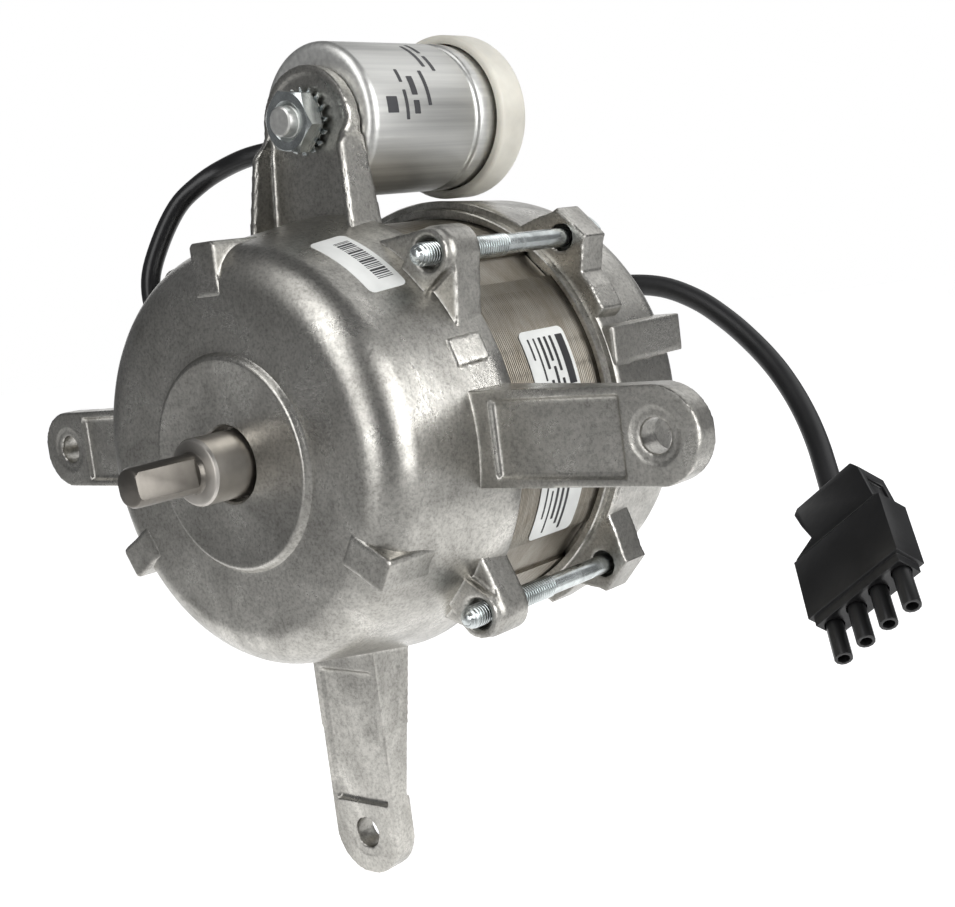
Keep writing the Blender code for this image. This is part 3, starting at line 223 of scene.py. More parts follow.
def plastic(name, colour, roughness, grain, strength):
    """Moulded or extruded plastic with a fine grain and slight patches of gloss."""
    made, tree, shader, place = new_surface(name)
    patches = noise(tree, place, 90.0, 4.0)
    feed(tree, shader, {
        "Base Color": blend(tree, patches, 0.3, 0.75, [c * 0.82 for c in colour],
                            [min(1.0, c * 1.12 + 0.002) for c in colour]),
        "Roughness": gloss(tree, patches, roughness - 0.07, roughness + 0.09),
        "Normal": relief(tree, noise(tree, place, grain, 3.0), strength, 0.0001)})
    return made


def smooth_route(knots, count):
    """Points on a smooth curve through a route's own points."""
    ends = [2 * knots[0] - knots[1], *knots, 2 * knots[-1] - knots[-2]]
    fine = []
    for before, start, end, after in zip(ends, ends[1:], ends[2:], ends[3:]):
        for i in range(count):
            t = i / count
            bend = (2 * before - 5 * start + 4 * end - after) * t * t
            bend += (3 * start - before - 3 * end + after) * t ** 3
            fine.append(start + ((end - before) * t + bend) / 2)
    return fine + [knots[-1]]


def round_cord(name, knots, radius, surface):
    curve = bpy.data.curves.new(name, "CURVE")
    curve.dimensions = "3D"
    curve.bevel_depth = radius
    curve.bevel_resolution = 8
    curve.use_fill_caps = True
    route = [knots[0], *smooth_route(knots[1:-1], 6), knots[-1]]
    spline = curve.splines.new("POLY")
    spline.points.add(len(route) - 1)
    for point, spot in zip(spline.points, route):
        point.co = (*spot, 1.0)
    curve.materials.append(surface)
    cord = bpy.data.objects.new(name, curve)
    bpy.context.scene.collection.objects.link(cord)
    return cord, sum((b - a).length for a, b in zip(route, route[1:]))


CABLE_HOLE = (-24.0, 18.17)
CABLE_R = 3.1 * MM
CABLE_KNOTS = [Vector(spot) * MM for spot in (
    (-24.0, 102.1, 18.17), (-24.0, 104.5, 18.17), (-23.0, 113.9, 19.07),
    (-19.7, 124.2, 20.87), (-14.1, 133.5, 22.57), (-6.4, 141.3, 22.97), (2.7, 147.0, 21.07),
    (12.1, 149.9, 16.27), (21.0, 150.3, 9.87), (29.5, 148.7, 3.07), (37.5, 145.6, -3.73),
    (44.8, 141.1, -10.53), (51.5, 135.5, -17.23), (57.5, 129.2, -23.83), (63.0, 122.2, -30.23),
    (66.9, 117.0, -34.93))]
black_pvc = plastic("black_pvc", (0.014, 0.014, 0.015), 0.42, 1500.0, 0.25)
cable, cable_length = round_cord("supply_cable_run", CABLE_KNOTS, CABLE_R, black_pvc)
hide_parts("supply_cable")
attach(cable, "housing")


# Capacitor lead
# Two thin wires in a black PVC sleeve. It comes out of the end cap, turns forward along the
# can's left side and drops behind the front shield to a grommet in the rear shield.
SLEEVE_R = 2.5 * MM
LEAD_KNOTS = [Vector(spot) * MM for spot in (
    (0.0, 68.2, 72.2), (0.0, 74.0, 72.2), (-1.5, 81.0, 72.2), (-8.0, 87.5, 72.2),
    (-17.5, 87.0, 72.2), (-23.8, 78.0, 72.2), (-25.0, 62.0, 72.0), (-28.0, 46.0, 71.2),
    (-34.3, 37.0, 70.0), (-43.5, 33.0, 69.2), (-52.3, 31.0, 67.2), (-58.2, 28.0, 64.2),
    (-63.0, 24.0, 59.4), (-65.9, 19.0, 50.8), (-67.2, 15.0, 41.3), (-67.8, 16.0, 32.0),
    (-68.1, 23.0, 23.0), (-67.9, 36.0, 16.5), (-66.2, 48.5, 14.0), (-63.0, 56.0, 13.3),
    (-58.5, 58.0, 13.3), (-53.9, 58.0, 13.3), (-45.0, 58.0, 13.3))]
black_sleeve = plastic("black_sleeve", (0.011, 0.011, 0.012), 0.30, 700.0, 0.35)
lead = round_cord("capacitor_lead_run", LEAD_KNOTS, SLEEVE_R, black_sleeve)[0]
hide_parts("capacitor_lead")
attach(lead, "housing")


# Front shield
# One aluminium die casting: the bell with a raised disc round the shaft hole, three arms, four
# bolt lugs, three centring blocks, a pad and the capacitor's bracket. Left as cast, with soft
# edges and fillets wherever two walls meet.
def turned(profile, steps=128, spot=(0.0, 0.0), ring=False):
    """A closed solid: (radius, y) points in mm, turned once round an axis along Y."""
    lump = bmesh.new()
    line = [lump.verts.new(((spot[0] + r) * MM, y * MM, spot[1] * MM)) for r, y in profile]
    for a, b in zip(line, line[1:] + line[:1] if ring else line[1:]):
        lump.edges.new((a, b))
    bmesh.ops.spin(lump, geom=lump.verts[:] + lump.edges[:], cent=(spot[0] * MM, 0.0, spot[1] * MM),
                   axis=(0.0, 1.0, 0.0), dvec=(0.0, 0.0, 0.0), angle=math.tau, steps=steps,
                   use_merge=True)
    bmesh.ops.remove_doubles(lump, verts=lump.verts[:], dist=1e-6)
    bmesh.ops.recalc_face_normals(lump, faces=lump.faces[:])
    return lump


def pulled(points, along):
    """A closed solid: a flat face through points in mm, pulled along a way in mm."""
    lump = bmesh.new()
    face = lump.faces.new([lump.verts.new([c * MM for c in point]) for point in points])
    whole = bmesh.ops.extrude_face_region(lump, geom=[face], use_keep_orig=True)
    moved = [part for part in whole["geom"] if isinstance(part, bmesh.types.BMVert)]
    bmesh.ops.translate(lump, vec=[c * MM for c in along], verts=moved)
    return lump


def swing(lump, turn):
    """Turns a lump round the shaft's axis, in degrees."""
    bmesh.ops.rotate(lump, cent=(0.0, 0.0, 0.0), verts=lump.verts[:],
                     matrix=Matrix.Rotation(-math.radians(turn), 3, "Y"))


def plate(outline, front, back, turn=0.0):
    """A closed plate: an (x, z) outline in mm at y = front, pulled back to y = back."""
    lump = pulled([(x, front, z) for x, z in outline], (0.0, back - front, 0.0))
    swing(lump, turn)
    bmesh.ops.recalc_face_normals(lump, faces=lump.faces[:])
    return lump


def wedge(x0, x1, half0, half1, front, back0, back1, turn=0.0):
    """A plate from x0 to x1 whose back slopes from back0 to back1."""
    lump = plate([(x0, -half0), (x1, -half1), (x1, half1), (x0, half0)], front, back0)
    middle = (x0 + x1) / 2 * MM
    for vert in lump.verts:
        if vert.co.x > middle and vert.co.y > (front + back0) / 2 * MM:
            vert.co.y = back1 * MM
    swing(lump, turn)
    return lump


def arc(x, z, radius, start, end, steps):
    return [(x + radius * math.cos(math.radians(start + (end - start) * i / steps)),
             z + radius * math.sin(math.radians(start + (end - start) * i / steps)))
            for i in range(steps + 1)]


def polar(radius, angle):
    return (radius * math.cos(math.radians(angle)), radius * math.sin(math.radians(angle)))


def settled(made):
    """The object with its modifiers worked into its mesh."""
    bpy.context.view_layer.update()
    shape = made.evaluated_get(bpy.context.evaluated_depsgraph_get())
    mesh = bpy.data.meshes.new_from_object(shape)
    made.modifiers.clear()
    made.data = mesh
    return made


def finished(made, surface, node=None, body="housing", sharp=35.0):
    """Smooth shading but for sharp edges, its surface, and its place on the motor."""
    made.data.materials.clear()
    made.data.materials.append(surface)
    made.data.shade_smooth()
    made.data.set_sharp_from_angle(angle=math.radians(sharp))
    if node:
        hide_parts(node)
    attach(made, body)
    return made


def combine(made, lumps, operation):
    """Joins lumps to an object, cuts them from it or keeps what lies in them, all in one pass."""
    tools = [as_object("tool", lump) for lump in lumps]
    for tool in tools:
        change = made.modifiers.new("join", "BOOLEAN")
        change.operation = operation
        change.solver = "MANIFOLD"
        change.object = tool
    settled(made)
    for tool in tools:
        bpy.data.objects.remove(tool)


def cast(name, base, within, lumps, cuts, grid=0.42):
    """Lumps and the wall under them, cut and then softened as a die casting is."""
    made = as_object(name, base)
    combine(made, [within], "INTERSECT")
    combine(made, lumps, "UNION")
    combine(made, cuts, "DIFFERENCE")
    skin = made.modifiers.new("skin", "REMESH")
    skin.mode = "VOXEL"
    skin.voxel_size = grid * MM
    soft = made.modifiers.new("soft", "SMOOTH")
    soft.factor = 0.5
    soft.iterations = 4
    return settled(made)


def multiplied(tree, share, first, second):
    """One colour darkened by another; the share says how much of that is done."""
    mixed = add_node(tree, "Mix", {0: share, 6: first, 7: second}, data_type="RGBA",
                     blend_type="MULTIPLY")
    return mixed.outputs[2]


def cast_aluminium(name, light, dark, roughness):
    """Bare die-cast metal: cloudy patches of shade and gloss, fine grain and small dark pits."""
    made, tree, shader, place = new_surface(name)
    clouds = noise(tree, place, 50.0, 10.0, Roughness=0.68, Distortion=0.5)
    pits = noise(tree, place, 1300.0, 4.0, Roughness=0.75)
    grain = noise(tree, place, 520.0, 8.0, Roughness=0.72)
    feed(tree, shader, {
        "Metallic": 1.0,
        "Base Color": multiplied(tree, 0.6, blend(tree, clouds, 0.38, 0.62, dark, light),
                                 blend(tree, pits, 0.36, 0.56, [0.45] * 3, [1.0] * 3)),
        "Roughness": gloss(tree, clouds, roughness + 0.12, roughness - 0.06, 0.3, 0.7),
        "Normal": relief(tree, grain, 0.32, 0.0003)})
    return made


casting = cast_aluminium("as_cast_aluminium", (0.62, 0.605, 0.565), (0.36, 0.35, 0.325), 0.28)
BELL_OUTSIDE = [(8.3, -24.7), (8.8, -25.2), (21.9, -25.2), (22.5, -25.35), (23.0, -25.3),
                (23.4, -25.0), (23.7, -24.4), (24.1, -23.95), (24.8, -23.9), (26.5, -24.0),
                (34.0, -24.0), *arc(37.3, -14.5, 9.5, -90.0, -5.0, 16), (50.4, 8.4),
                (50.8, 11.8), (50.5, 12.5)]
BELL_INSIDE = [(47.8, 12.5), (47.8, 10.2), (44.9, 10.2), *arc(37.3, -14.5, 6.5, 0.0, -90.0, 8),
               (22.7, -21.0), (22.2, -10.0), (17.8, -10.0), (17.8, -21.0), (8.3, -21.0)]
bell = as_object("front_bell", turned(BELL_OUTSIDE + BELL_INSIDE, 240, ring=True))
finished(bell, casting, "front_shield", sharp=40.0)


def bell_wall():
    """The bell's wall, a little inside its skin, for the lumps on it to grow from."""
    return turned([(26.0, -23.75), (36.9, -23.75), *arc(37.0, -14.4, 9.3, -90.0, -5.0, 12),
                   (50.5, 12.2), (48.1, 12.2), (48.1, 9.9), (45.2, 9.9),
                   *arc(37.4, -14.5, 6.8, 0.0, -90.0, 6), (26.0, -21.3)], 160, ring=True)


def bell_hollow():
    return turned([(0.0, -21.0), (37.3, -21.0), *arc(37.3, -14.5, 6.5, -90.0, 0.0, 8),
                   (44.9, 10.2), (47.8, 10.2), (47.8, 20.0), (0.0, 20.0)], 96)


ARM_HOLES_R = 92.5
ARM_HALF = 9.9
for name, angle in (("arm_right", 0.0), ("arm_left", 180.0), ("arm_bottom", -90.0)):
    hole = polar(ARM_HOLES_R, angle)
    arm = cast(
        name, bell_wall(),
        plate([(38.0, -16.0), (60.0, -16.0), (60.0, 16.0), (38.0, 16.0)], -9.0, 13.0, angle),
        [wedge(46.0, 84.8, 10.3, ARM_HALF, 0.0, 12.6, 5.0, angle),
         turned([(0.0, 0.0), (ARM_HALF, 0.0), (ARM_HALF, 6.0), (0.0, 6.0)], 64, hole),
         plate([(84.0, -ARM_HALF), (ARM_HOLES_R, -ARM_HALF), (ARM_HOLES_R, ARM_HALF),
                (84.0, ARM_HALF)], 0.0, 6.0, angle)],
        [bell_hollow(),
         plate([(53.2, -8.0), (85.0, -8.1), (85.0, 8.1), (53.2, 8.0)], -2.0, 1.1, angle),
         plate([(55.0, -7.2), (79.0, -7.2), (79.0, 7.2), (55.0, 7.2)], 4.0, 14.0, angle),
         turned([(0.0, -1.0), (5.7, -1.0), (5.7, 0.22), (3.5, 0.22), (3.5, 14.0), (0.0, 14.0)],
                48, hole)])
    finished(arm, casting)

BOLT_ANGLES = (44.2, 137.5, 224.2, 317.5)
BOLT_CIRCLE = 56.2
LUG_FLARES = (16.5, 11.0, 16.5, 11.0)
for i, (angle, flare) in enumerate(zip(BOLT_ANGLES, LUG_FLARES)):
    ear = [polar(49.5, -flare), *arc(BOLT_CIRCLE, 0.0, 5.7, -68.0, 68.0, 16), polar(49.5, flare)]
    boss = [(46.5, -3.6), *arc(BOLT_CIRCLE, 0.0, 5.3, -108.0, 108.0, 24), (46.5, 3.4)]
    lug = cast(f"front_lug_{i + 1}", bell_wall(),
               plate([(36.0, -20.0), (66.0, -20.0), (66.0, 20.0), (36.0, 20.0)],
                     -14.0, 13.0, angle),
               [plate(ear, 4.0, 12.5, angle), plate(boss, 1.66, 11.0, angle)],
               [bell_hollow(),
                turned([(0.0, 0.0), (3.9, 0.0), (3.9, 1.8), (3.2, 2.6), (3.2, 14.0), (0.0, 14.0)],
                       40, polar(BOLT_CIRCLE, angle))])
    finished(lug, casting)

for i, angle in enumerate((90.0, 210.0, 330.0)):
    block = cast(f"centring_block_{i + 1}", bell_wall(),
                 plate([(30.0, -9.0), (54.0, -9.0), (54.0, 9.0), (30.0, 9.0)], -26.0, -8.0, angle),
                 [plate([(36.0, -3.7), (46.7, -3.9), (47.5, -3.1), (47.5, 3.1), (46.7, 3.9),
                         (36.0, 3.7)], -24.15, -8.0, angle)], [bell_hollow()])
    finished(block, casting)

# The pad has two steps. The outer corners of each one's front are drawn in, as draft.
PAD_DRAFT = 1.8
steps = []
for r, half, front, back, angle in ((51.3, 3.1, -0.6, 8.1, 22.1), (50.8, 2.7, -0.3, 12.0, 14.8)):
    step = plate([(46.0, -half), (r, -half), (r, half), (46.0, half)], front, back, angle)
    corners = [vert for vert in step.verts
               if vert.co.y < 0.0 and math.hypot(vert.co.x, vert.co.z) > 48.0 * MM]
    x, z = polar(PAD_DRAFT, angle)
    bmesh.ops.translate(step, vec=(-x * MM, 0.0, -z * MM), verts=corners)
    steps.append(step)
pad = cast("skirt_pad", bell_wall(),
           plate([(38.0, -16.0), (58.0, -16.0), (58.0, 12.0), (38.0, 12.0)], -12.0, 12.4, 21.0),
           steps, [bell_hollow()])
finished(pad, casting)

CAN_Z = 72.2
BRACKET_FRONT = [(17.1, 44.5), (14.4, 67.0), *arc(0.0, 70.6, 14.0, -12.0, 192.0, 36), (-14.4, 67.0),
                 (-17.1, 44.5)]
BRACKET_CHANNEL = [(15.2, 44.0), (12.6, 66.0), *arc(0.0, 70.6, 12.2, -12.0, 192.0, 30),
                   (-12.6, 66.0), (-15.2, 44.0)]
BRACKET_SIDE = [(4.5, 44.0), (7.2, 65.5), (11.6, 70.5), (11.6, 90.0), (-20.0, 90.0), (-20.0, 44.0)]
slope = pulled([(-20.0, y, z) for y, z in BRACKET_SIDE], (40.0, 0.0, 0.0))
bmesh.ops.recalc_face_normals(slope, faces=slope.faces[:])
bracket = cast("capacitor_bracket", bell_wall(),
               plate([(-24.0, 40.0), (24.0, 40.0), (24.0, 56.0), (-24.0, 56.0)], -16.0, 13.0),
               [plate(BRACKET_FRONT, 4.5, 15.0)],
               [plate(BRACKET_CHANNEL, -30.0, 12.0), slope, bell_hollow(),
                turned([(0.0, 5.0), (4.3, 5.0), (4.3, 16.0), (0.0, 16.0)], 40, (0.0, CAN_Z))], 0.45)
finished(bracket, casting)


# Rear shield
# The second die casting: a shallow bell with a turned band at its rim, four bolt lugs that are
# set back from the rim, two flat ribs along its sides and a low hub on its rear face.
REAR_PROFILE = [(0.0, 80.0), (20.2, 80.0), (21.0, 79.7), (21.4, 78.9), (22.2, 78.5),
                *arc(42.3, 70.0, 8.5, 90.0, 0.0, 14), (51.7, 50.6), (51.8, 49.0), (51.5, 48.5),
                (50.1, 48.5), (50.0, 48.2), (50.0, 46.8), (49.7, 46.5), (47.6, 46.5), (47.6, 48.9),
                (45.6, 48.9), (45.2, 69.5), (43.0, 74.0), (38.0, 75.5), (22.5, 75.5), (22.2, 62.2),
                (17.8, 62.2), (17.8, 73.6), (0.0, 73.6)]
rear_bell = as_object("rear_bell", turned(REAR_PROFILE, 240))
combine(rear_bell, [turned([(0.0, 70.0), (5.5, 70.0), (5.5, 82.0), (0.0, 82.0)], 40, CABLE_HOLE),
                    turned([(0.0, 44.0), (47.9, 44.0), (47.9, 48.4), (0.0, 48.4)], 120,
                           (0.75, 0.33))], "DIFFERENCE")
finished(rear_bell, casting, "rear_shield", sharp=40.0)


def rear_wall():
    return turned([(34.0, 78.2), *arc(42.1, 69.9, 8.3, 90.0, 0.0, 10), (51.4, 50.6), (51.4, 48.7),
                   (48.2, 48.7), (48.2, 49.2), (45.9, 49.2), (45.5, 69.5), (43.2, 74.2),
                   (38.1, 75.8), (34.0, 75.8)], 160, ring=True)


def rear_hollow():
    return turned([(0.0, 40.0), (47.9, 40.0), (47.9, 48.9), (45.6, 48.9), (45.2, 69.5),
                   (43.0, 74.0), (38.0, 75.5), (0.0, 75.5)], 96)


REAR_LUG = [(42.0, 10.8), (50.6, 10.8), (54.7, 8.6), (59.0, 5.7), (60.8, 5.0)]
REAR_LUG += [(x, -z) for x, z in reversed(REAR_LUG)]
LEDGE = [polar(46.0, -6.0), polar(54.4, -6.0), polar(54.6, -14.0), polar(54.3, -20.4),
         polar(52.5, -21.4), polar(46.0, -21.4)]
for i, angle in enumerate(BOLT_ANGLES):
    lug = cast(f"rear_lug_{i + 1}", rear_wall(),
               plate([(40.0, -25.0), (70.0, -25.0), (70.0, 16.0), (40.0, 16.0)], 44.0, 66.0, angle),
               [plate(REAR_LUG, 48.5, 57.0, angle), plate(LEDGE, 48.5, 57.0, angle)],
               [rear_hollow(),
                turned([(0.0, 40.0), (3.1, 40.0), (3.1, 57.2), (5.3, 57.2), (5.3, 84.0),
                        (0.0, 84.0)], 40, polar(BOLT_CIRCLE, angle))], 0.45)
    finished(lug, casting)

lead_hole = plate([(-80.0, 9.0), (-40.0, 9.0), (-40.0, 17.6), (-80.0, 17.6)], 53.9, 62.1)
for name, side, holes in (("right", 1.0, []), ("left", -1.0, [lead_hole])):
    rib = cast(f"side_rib_{name}", rear_wall(),
               plate([(38.0 * side, 2.0), (60.0 * side, 2.0), (60.0 * side, 24.0),
                      (38.0 * side, 24.0)], 44.0, 80.0),
               [plate([(40.0 * side, 8.9), (51.6 * side, 8.9), (51.6 * side, 17.8),
                       (40.0 * side, 17.8)], 48.7, 77.3)],
               [rear_hollow()] + holes, 0.45)
    finished(rib, casting)


# Stator stack
# Thin steel laminations pressed together and turned on the outside where the shields sit; the
# stretch between them is brown, with fine lines across and patches of rust.
def stretched(tree, place, scale):
    return add_node(tree, "Mapping", {"Vector": place, "Scale": scale}).outputs["Vector"]


laminations, tree, shader, place = new_surface("lamination_steel")
sheets = add_node(tree, "TexWave", {"Vector": place, "Scale": 630.0, "Distortion": 0.15,
                                    "Detail": 2.0}, bands_direction="Y").outputs
rust = noise(tree, stretched(tree, place, (60.0, 110.0, 60.0)), 1.0, 9.0, Roughness=0.7)
rusty = blend(tree, rust, 0.36, 0.64, (0.30, 0.265, 0.215), (0.46, 0.43, 0.375))
feed(tree, shader, {
    "Metallic": 1.0,
    "Base Color": multiplied(tree, 0.5, rusty, sheets["Color"]),
    "Roughness": gloss(tree, rust, 0.50, 0.30),
    "Normal": relief(tree, sheets["Fac"], 0.3, 0.0001)})
STACK_R = 47.5
LINES = 58
LINE_STEP = 0.65
outer = []
for i in range(LINES):
    at = i * LINE_STEP
    outer += [(STACK_R, 10.6 + at), (STACK_R, 11.08 + at), (47.43, 11.17 + at)]
pack = as_object("lamination_pack", turned([(44.5, 10.5), *outer, (STACK_R, 48.45), (44.5, 48.5)],
                                           240, ring=True))
combine(pack, [plate([(46.3, -6.2), (50.0, -6.2), (50.0, 6.2), (46.3, 6.2)], 10.0, 49.0, angle)
               for angle in BOLT_ANGLES], "DIFFERENCE")
finished(pack, laminations, sharp=60.0)


# Labels
# Printed film stuck on two places: the rating label round the stack, and a small bar code
# sticker on the skirt. Both carry plain bars where print would be.
def film(lump, radius, slope, y0, y1, start, end, corner, thick):
    """A curved patch of film between two places along the axis and two angles, in degrees."""
    reach = math.radians(end - start) * radius
    outline = []
    for x, z, turn in ((y1 - corner, reach - corner, 0.0), (y0 + corner, reach - corner, 90.0),
                       (y0 + corner, corner, 180.0), (y1 - corner, corner, 270.0)):
        outline += arc(x, z, corner, turn, turn + 90.0, 4)
    part = bmesh.new()
    part.faces.new([part.verts.new((x, 0.0, z)) for x, z in outline])
    for i in range(1, int(reach / 1.2) + 1):
        bmesh.ops.bisect_plane(part, geom=part.verts[:] + part.edges[:] + part.faces[:],
                               plane_co=(0.0, 0.0, i * 1.2), plane_no=(0.0, 0.0, 1.0))
    whole = bmesh.ops.extrude_face_region(part, geom=part.faces[:], use_keep_orig=True)
    top = [v for v in whole["geom"] if isinstance(v, bmesh.types.BMVert)]
    bmesh.ops.translate(part, vec=(0.0, thick, 0.0), verts=top)
    for vert in part.verts:
        angle = math.radians(start) + vert.co.z / radius
        out = radius + slope * (vert.co.x - y0) + vert.co.y
        vert.co = Vector((out * math.cos(angle), vert.co.x, out * math.sin(angle))) * MM
    bmesh.ops.recalc_face_normals(part, faces=part.faces[:])
    mesh = bpy.data.meshes.new("film")
    part.to_mesh(mesh)
    part.free()
    lump.from_mesh(mesh)
    bpy.data.meshes.remove(mesh)


label_film = plastic("label_film", (0.83, 0.84, 0.82), 0.32, 400.0, 0.05)
print_black = plastic("print_black", (0.025, 0.025, 0.028), 0.45, 900.0, 0.05)
LABEL_R = 47.62
MARKS_R = 47.78
label = bmesh.new()
film(label, LABEL_R, 0.0, 24.0, 40.0, -34.7, 24.3, 1.6, 0.14)
finished(as_object("rating_label_film", label), label_film, "rating_label")
marks = bmesh.new()
for y, height, dashes in ((37.6, 2.6, ((8.0, 22.0), (-6.0, 5.0))),
                          (34.4, 0.9, ((12.0, 22.0), (3.0, 10.0), (-33.0, -9.0))),
                          (32.4, 0.9, ((15.0, 22.0), (5.0, 13.5), (-31.0, -14.0))),
                          (30.4, 0.9, ((13.0, 22.0), (-4.0, 10.0), (-29.0, -12.0))),
                          (28.4, 0.6, ((10.0, 22.0), (-33.0, -20.0))),
                          (26.4, 0.6, ((16.0, 22.0), (-28.0, -8.0)))):
    for first, last in dashes:
        film(marks, MARKS_R, 0.0, y - height / 2, y + height / 2, first, last, 0.15, 0.03)
finished(as_object("rating_label_marks", marks), print_black)

SKIRT_SLOPE = 4.2 / 27.0
STICKER_R = 46.8 + SKIRT_SLOPE * 4.0 + 0.06
STICKER_THICK = 0.12
BARS_R = STICKER_R + STICKER_THICK + SKIRT_SLOPE * 4.4
sticker = bmesh.new()
film(sticker, STICKER_R, SKIRT_SLOPE, -10.5, -0.5, 43.2, 67.7, 1.4, STICKER_THICK)
finished(as_object("barcode_sticker_film", sticker), label_film, "barcode_sticker")
bars = bmesh.new()
at = 47.0
for i in range(22):
    wide = (0.25, 0.5, 0.25, 0.75, 0.4)[i * 7 % 5]
    film(bars, BARS_R, SKIRT_SLOPE, -6.1, -1.9, at, at + wide, 0.04, 0.03)
    at += wide + (0.35, 0.3, 0.5)[i * 5 % 3]
finished(as_object("barcode_sticker_bars", bars), print_black)


# Shaft
# Ground steel: a thick journal through the front shield and a thinner end with two milled flats
# that stop short of the journal. The thinner end is duller than the journal.
def turned_metal(name, colour, roughness, rings, patches):
    """Bright metal with fine rings from the lathe or grinder and faint cloudy patches."""
    made, tree, shader, place = new_surface(name)
    lines = noise(tree, stretched(tree, place, (30.0, rings, 30.0)), 1.0, 6.0)
    feed(tree, shader, {
        "Metallic": 1.0,
        "Base Color": blend(tree, noise(tree, place, patches, 6.0), 0.32, 0.68,
                            [c * 0.72 for c in colour], [min(1.0, c * 1.12) for c in colour]),
        "Roughness": gloss(tree, lines, roughness - 0.08, roughness + 0.10),
        "Normal": relief(tree, lines, 0.14, 0.00008)})
    return made


ground_steel = turned_metal("ground_steel", (0.58, 0.55, 0.51), 0.33, 1400.0, 130.0)
tree = ground_steel.node_tree
shader = tree.nodes["Principled BSDF"]
place = tree.nodes.new("ShaderNodeTexCoord").outputs["Object"]
along = add_node(tree, "SeparateXYZ", {0: place}).outputs["Y"]
milled = add_node(tree, "MapRange", {"Value": along, "From Min": -0.0348, "From Max": -0.0354})
ground = shader.inputs["Base Color"].links[0].from_socket
feed(tree, shader, {"Base Color": multiplied(tree, milled.outputs["Result"], ground,
                                             (0.36, 0.353, 0.34, 1.0))})
SHAFT_PROFILE = [(0.0, -52.0), (3.3, -52.0), (3.9, -51.7), (4.28, -51.0), (4.28, -36.0),
                 (4.6, -35.3), (6.5, -35.0), (7.0, -34.8), (7.35, -34.2), (7.35, -9.0),
                 (9.0, -8.0), (9.0, 60.0), (7.35, 61.0), (7.35, 73.0), (0.0, 73.3)]
shaft = as_object("motor_shaft", turned(SHAFT_PROFILE, 96))
combine(shaft, [plate([(3.1 * side, -6.0), (7.0 * side, -6.0), (7.0 * side, 6.0),
                       (3.1 * side, 6.0)], -56.0, -36.6, 6.0) for side in (1.0, -1.0)],
        "DIFFERENCE")


def round_edges(made, width, segments, sharp):
    """Rounds the edges where two faces meet at more than the given angle, in degrees."""
    rounding = made.modifiers.new("edges", "BEVEL")
    rounding.width = width * MM
    rounding.segments = segments
    rounding.limit_method = "ANGLE"
    rounding.angle_limit = math.radians(sharp)
    settled(made)


round_edges(shaft, 0.25, 2, 40.0)
finished(shaft, ground_steel, "shaft", body="rotor", sharp=30.0)


# Through bolts
# Four long M5 bolts in bright zinc. Each has a small hexagon head behind the rear lug, a plain
# shank, and a rolled thread that ends in a rounded tip in front of the front lug.
def thread(outer, pitch, start, turns, spot):
    """A rolled thread: a zigzag line swept once round while it moves on by one pitch."""
    inner = outer - 0.6 * pitch
    lump = bmesh.new()
    line = []
    for i in range(turns):
        for r, share in ((inner, 0.0), (inner, 0.1), (outer, 0.4), (outer, 0.7)):
            line.append(lump.verts.new(((spot[0] + r) * MM, (start + (i + share) * pitch) * MM,
                                        spot[1] * MM)))
    line.append(lump.verts.new(((spot[0] + inner) * MM, (start + turns * pitch) * MM,
                                spot[1] * MM)))
    for a, b in zip(line, line[1:]):
        lump.edges.new((a, b))
    bmesh.ops.spin(lump, geom=lump.verts[:] + lump.edges[:], cent=(spot[0] * MM, 0.0, spot[1] * MM),
                   axis=(0.0, 1.0, 0.0), dvec=(0.0, pitch * MM / 28, 0.0), angle=math.tau, steps=28)
    bmesh.ops.remove_doubles(lump, verts=lump.verts[:], dist=2e-6)
    for vert in lump.verts:
        run_in = (vert.co.y / MM - start) / (2.2 * pitch)
        if run_in < 1.0:
            centre = Vector((spot[0] * MM, vert.co.y, spot[1] * MM))
            vert.co = centre + (vert.co - centre) * (0.72 + 0.28 * max(0.0, run_in))
    bmesh.ops.holes_fill(lump, edges=[edge for edge in lump.edges if edge.is_boundary])
    bmesh.ops.recalc_face_normals(lump, faces=lump.faces[:])
    return lump


def hexagon_bar(name, across, front, back, chamfer, spot, turn):
    """A hexagonal head or nut blank with its corners turned off at both ends."""
    corner = across / math.sqrt(3.0)
    points = arc(0.0, 0.0, corner, turn, turn + 300.0, 5)
    blank = as_object(name, plate([(spot[0] + x, spot[1] + z) for x, z in points], front, back))
    flat = across / 2 - 0.1
    cone = turned([(0.0, front), (flat, front), (corner + 0.3, front + chamfer * 1.9),
                   (corner + 0.3, back - chamfer * 1.9), (flat, back), (0.0, back)], 72, spot)
    combine(blank, [cone], "INTERSECT")
    return blank


def gathered(name, lumps):
    """Several lumps and objects as one piece."""
    whole = bmesh.new()
    for lump in lumps:
        if isinstance(lump, bmesh.types.BMesh):
            lump = as_object("lump", lump)
        whole.from_mesh(lump.data)
        bpy.data.objects.remove(lump)
    return as_object(name, whole)


bright_zinc = turned_metal("bright_zinc", (0.66, 0.70, 0.70), 0.24, 500.0, 300.0)
for i, angle in enumerate(BOLT_ANGLES):
    spot = polar(BOLT_CIRCLE, angle)
    bolt = gathered(f"through_bolt_{i + 1}_turned", [
        thread(2.5, 0.8, -2.2, 36, spot),
        turned([(0.0, -2.6), (0.8, -2.5), (1.25, -2.3), (1.6, -1.6), (2.03, 0.2), (2.03, 26.5),
                (2.2, 27.3), (2.2, 58.0), (0.0, 58.0)], 40, spot),
        hexagon_bar("bolt_head", 7.0, 57.3, 59.7, 0.4, spot, angle + 30.0)])
    finished(bolt, bright_zinc, f"through_bolt_{i + 1}", sharp=32.0)


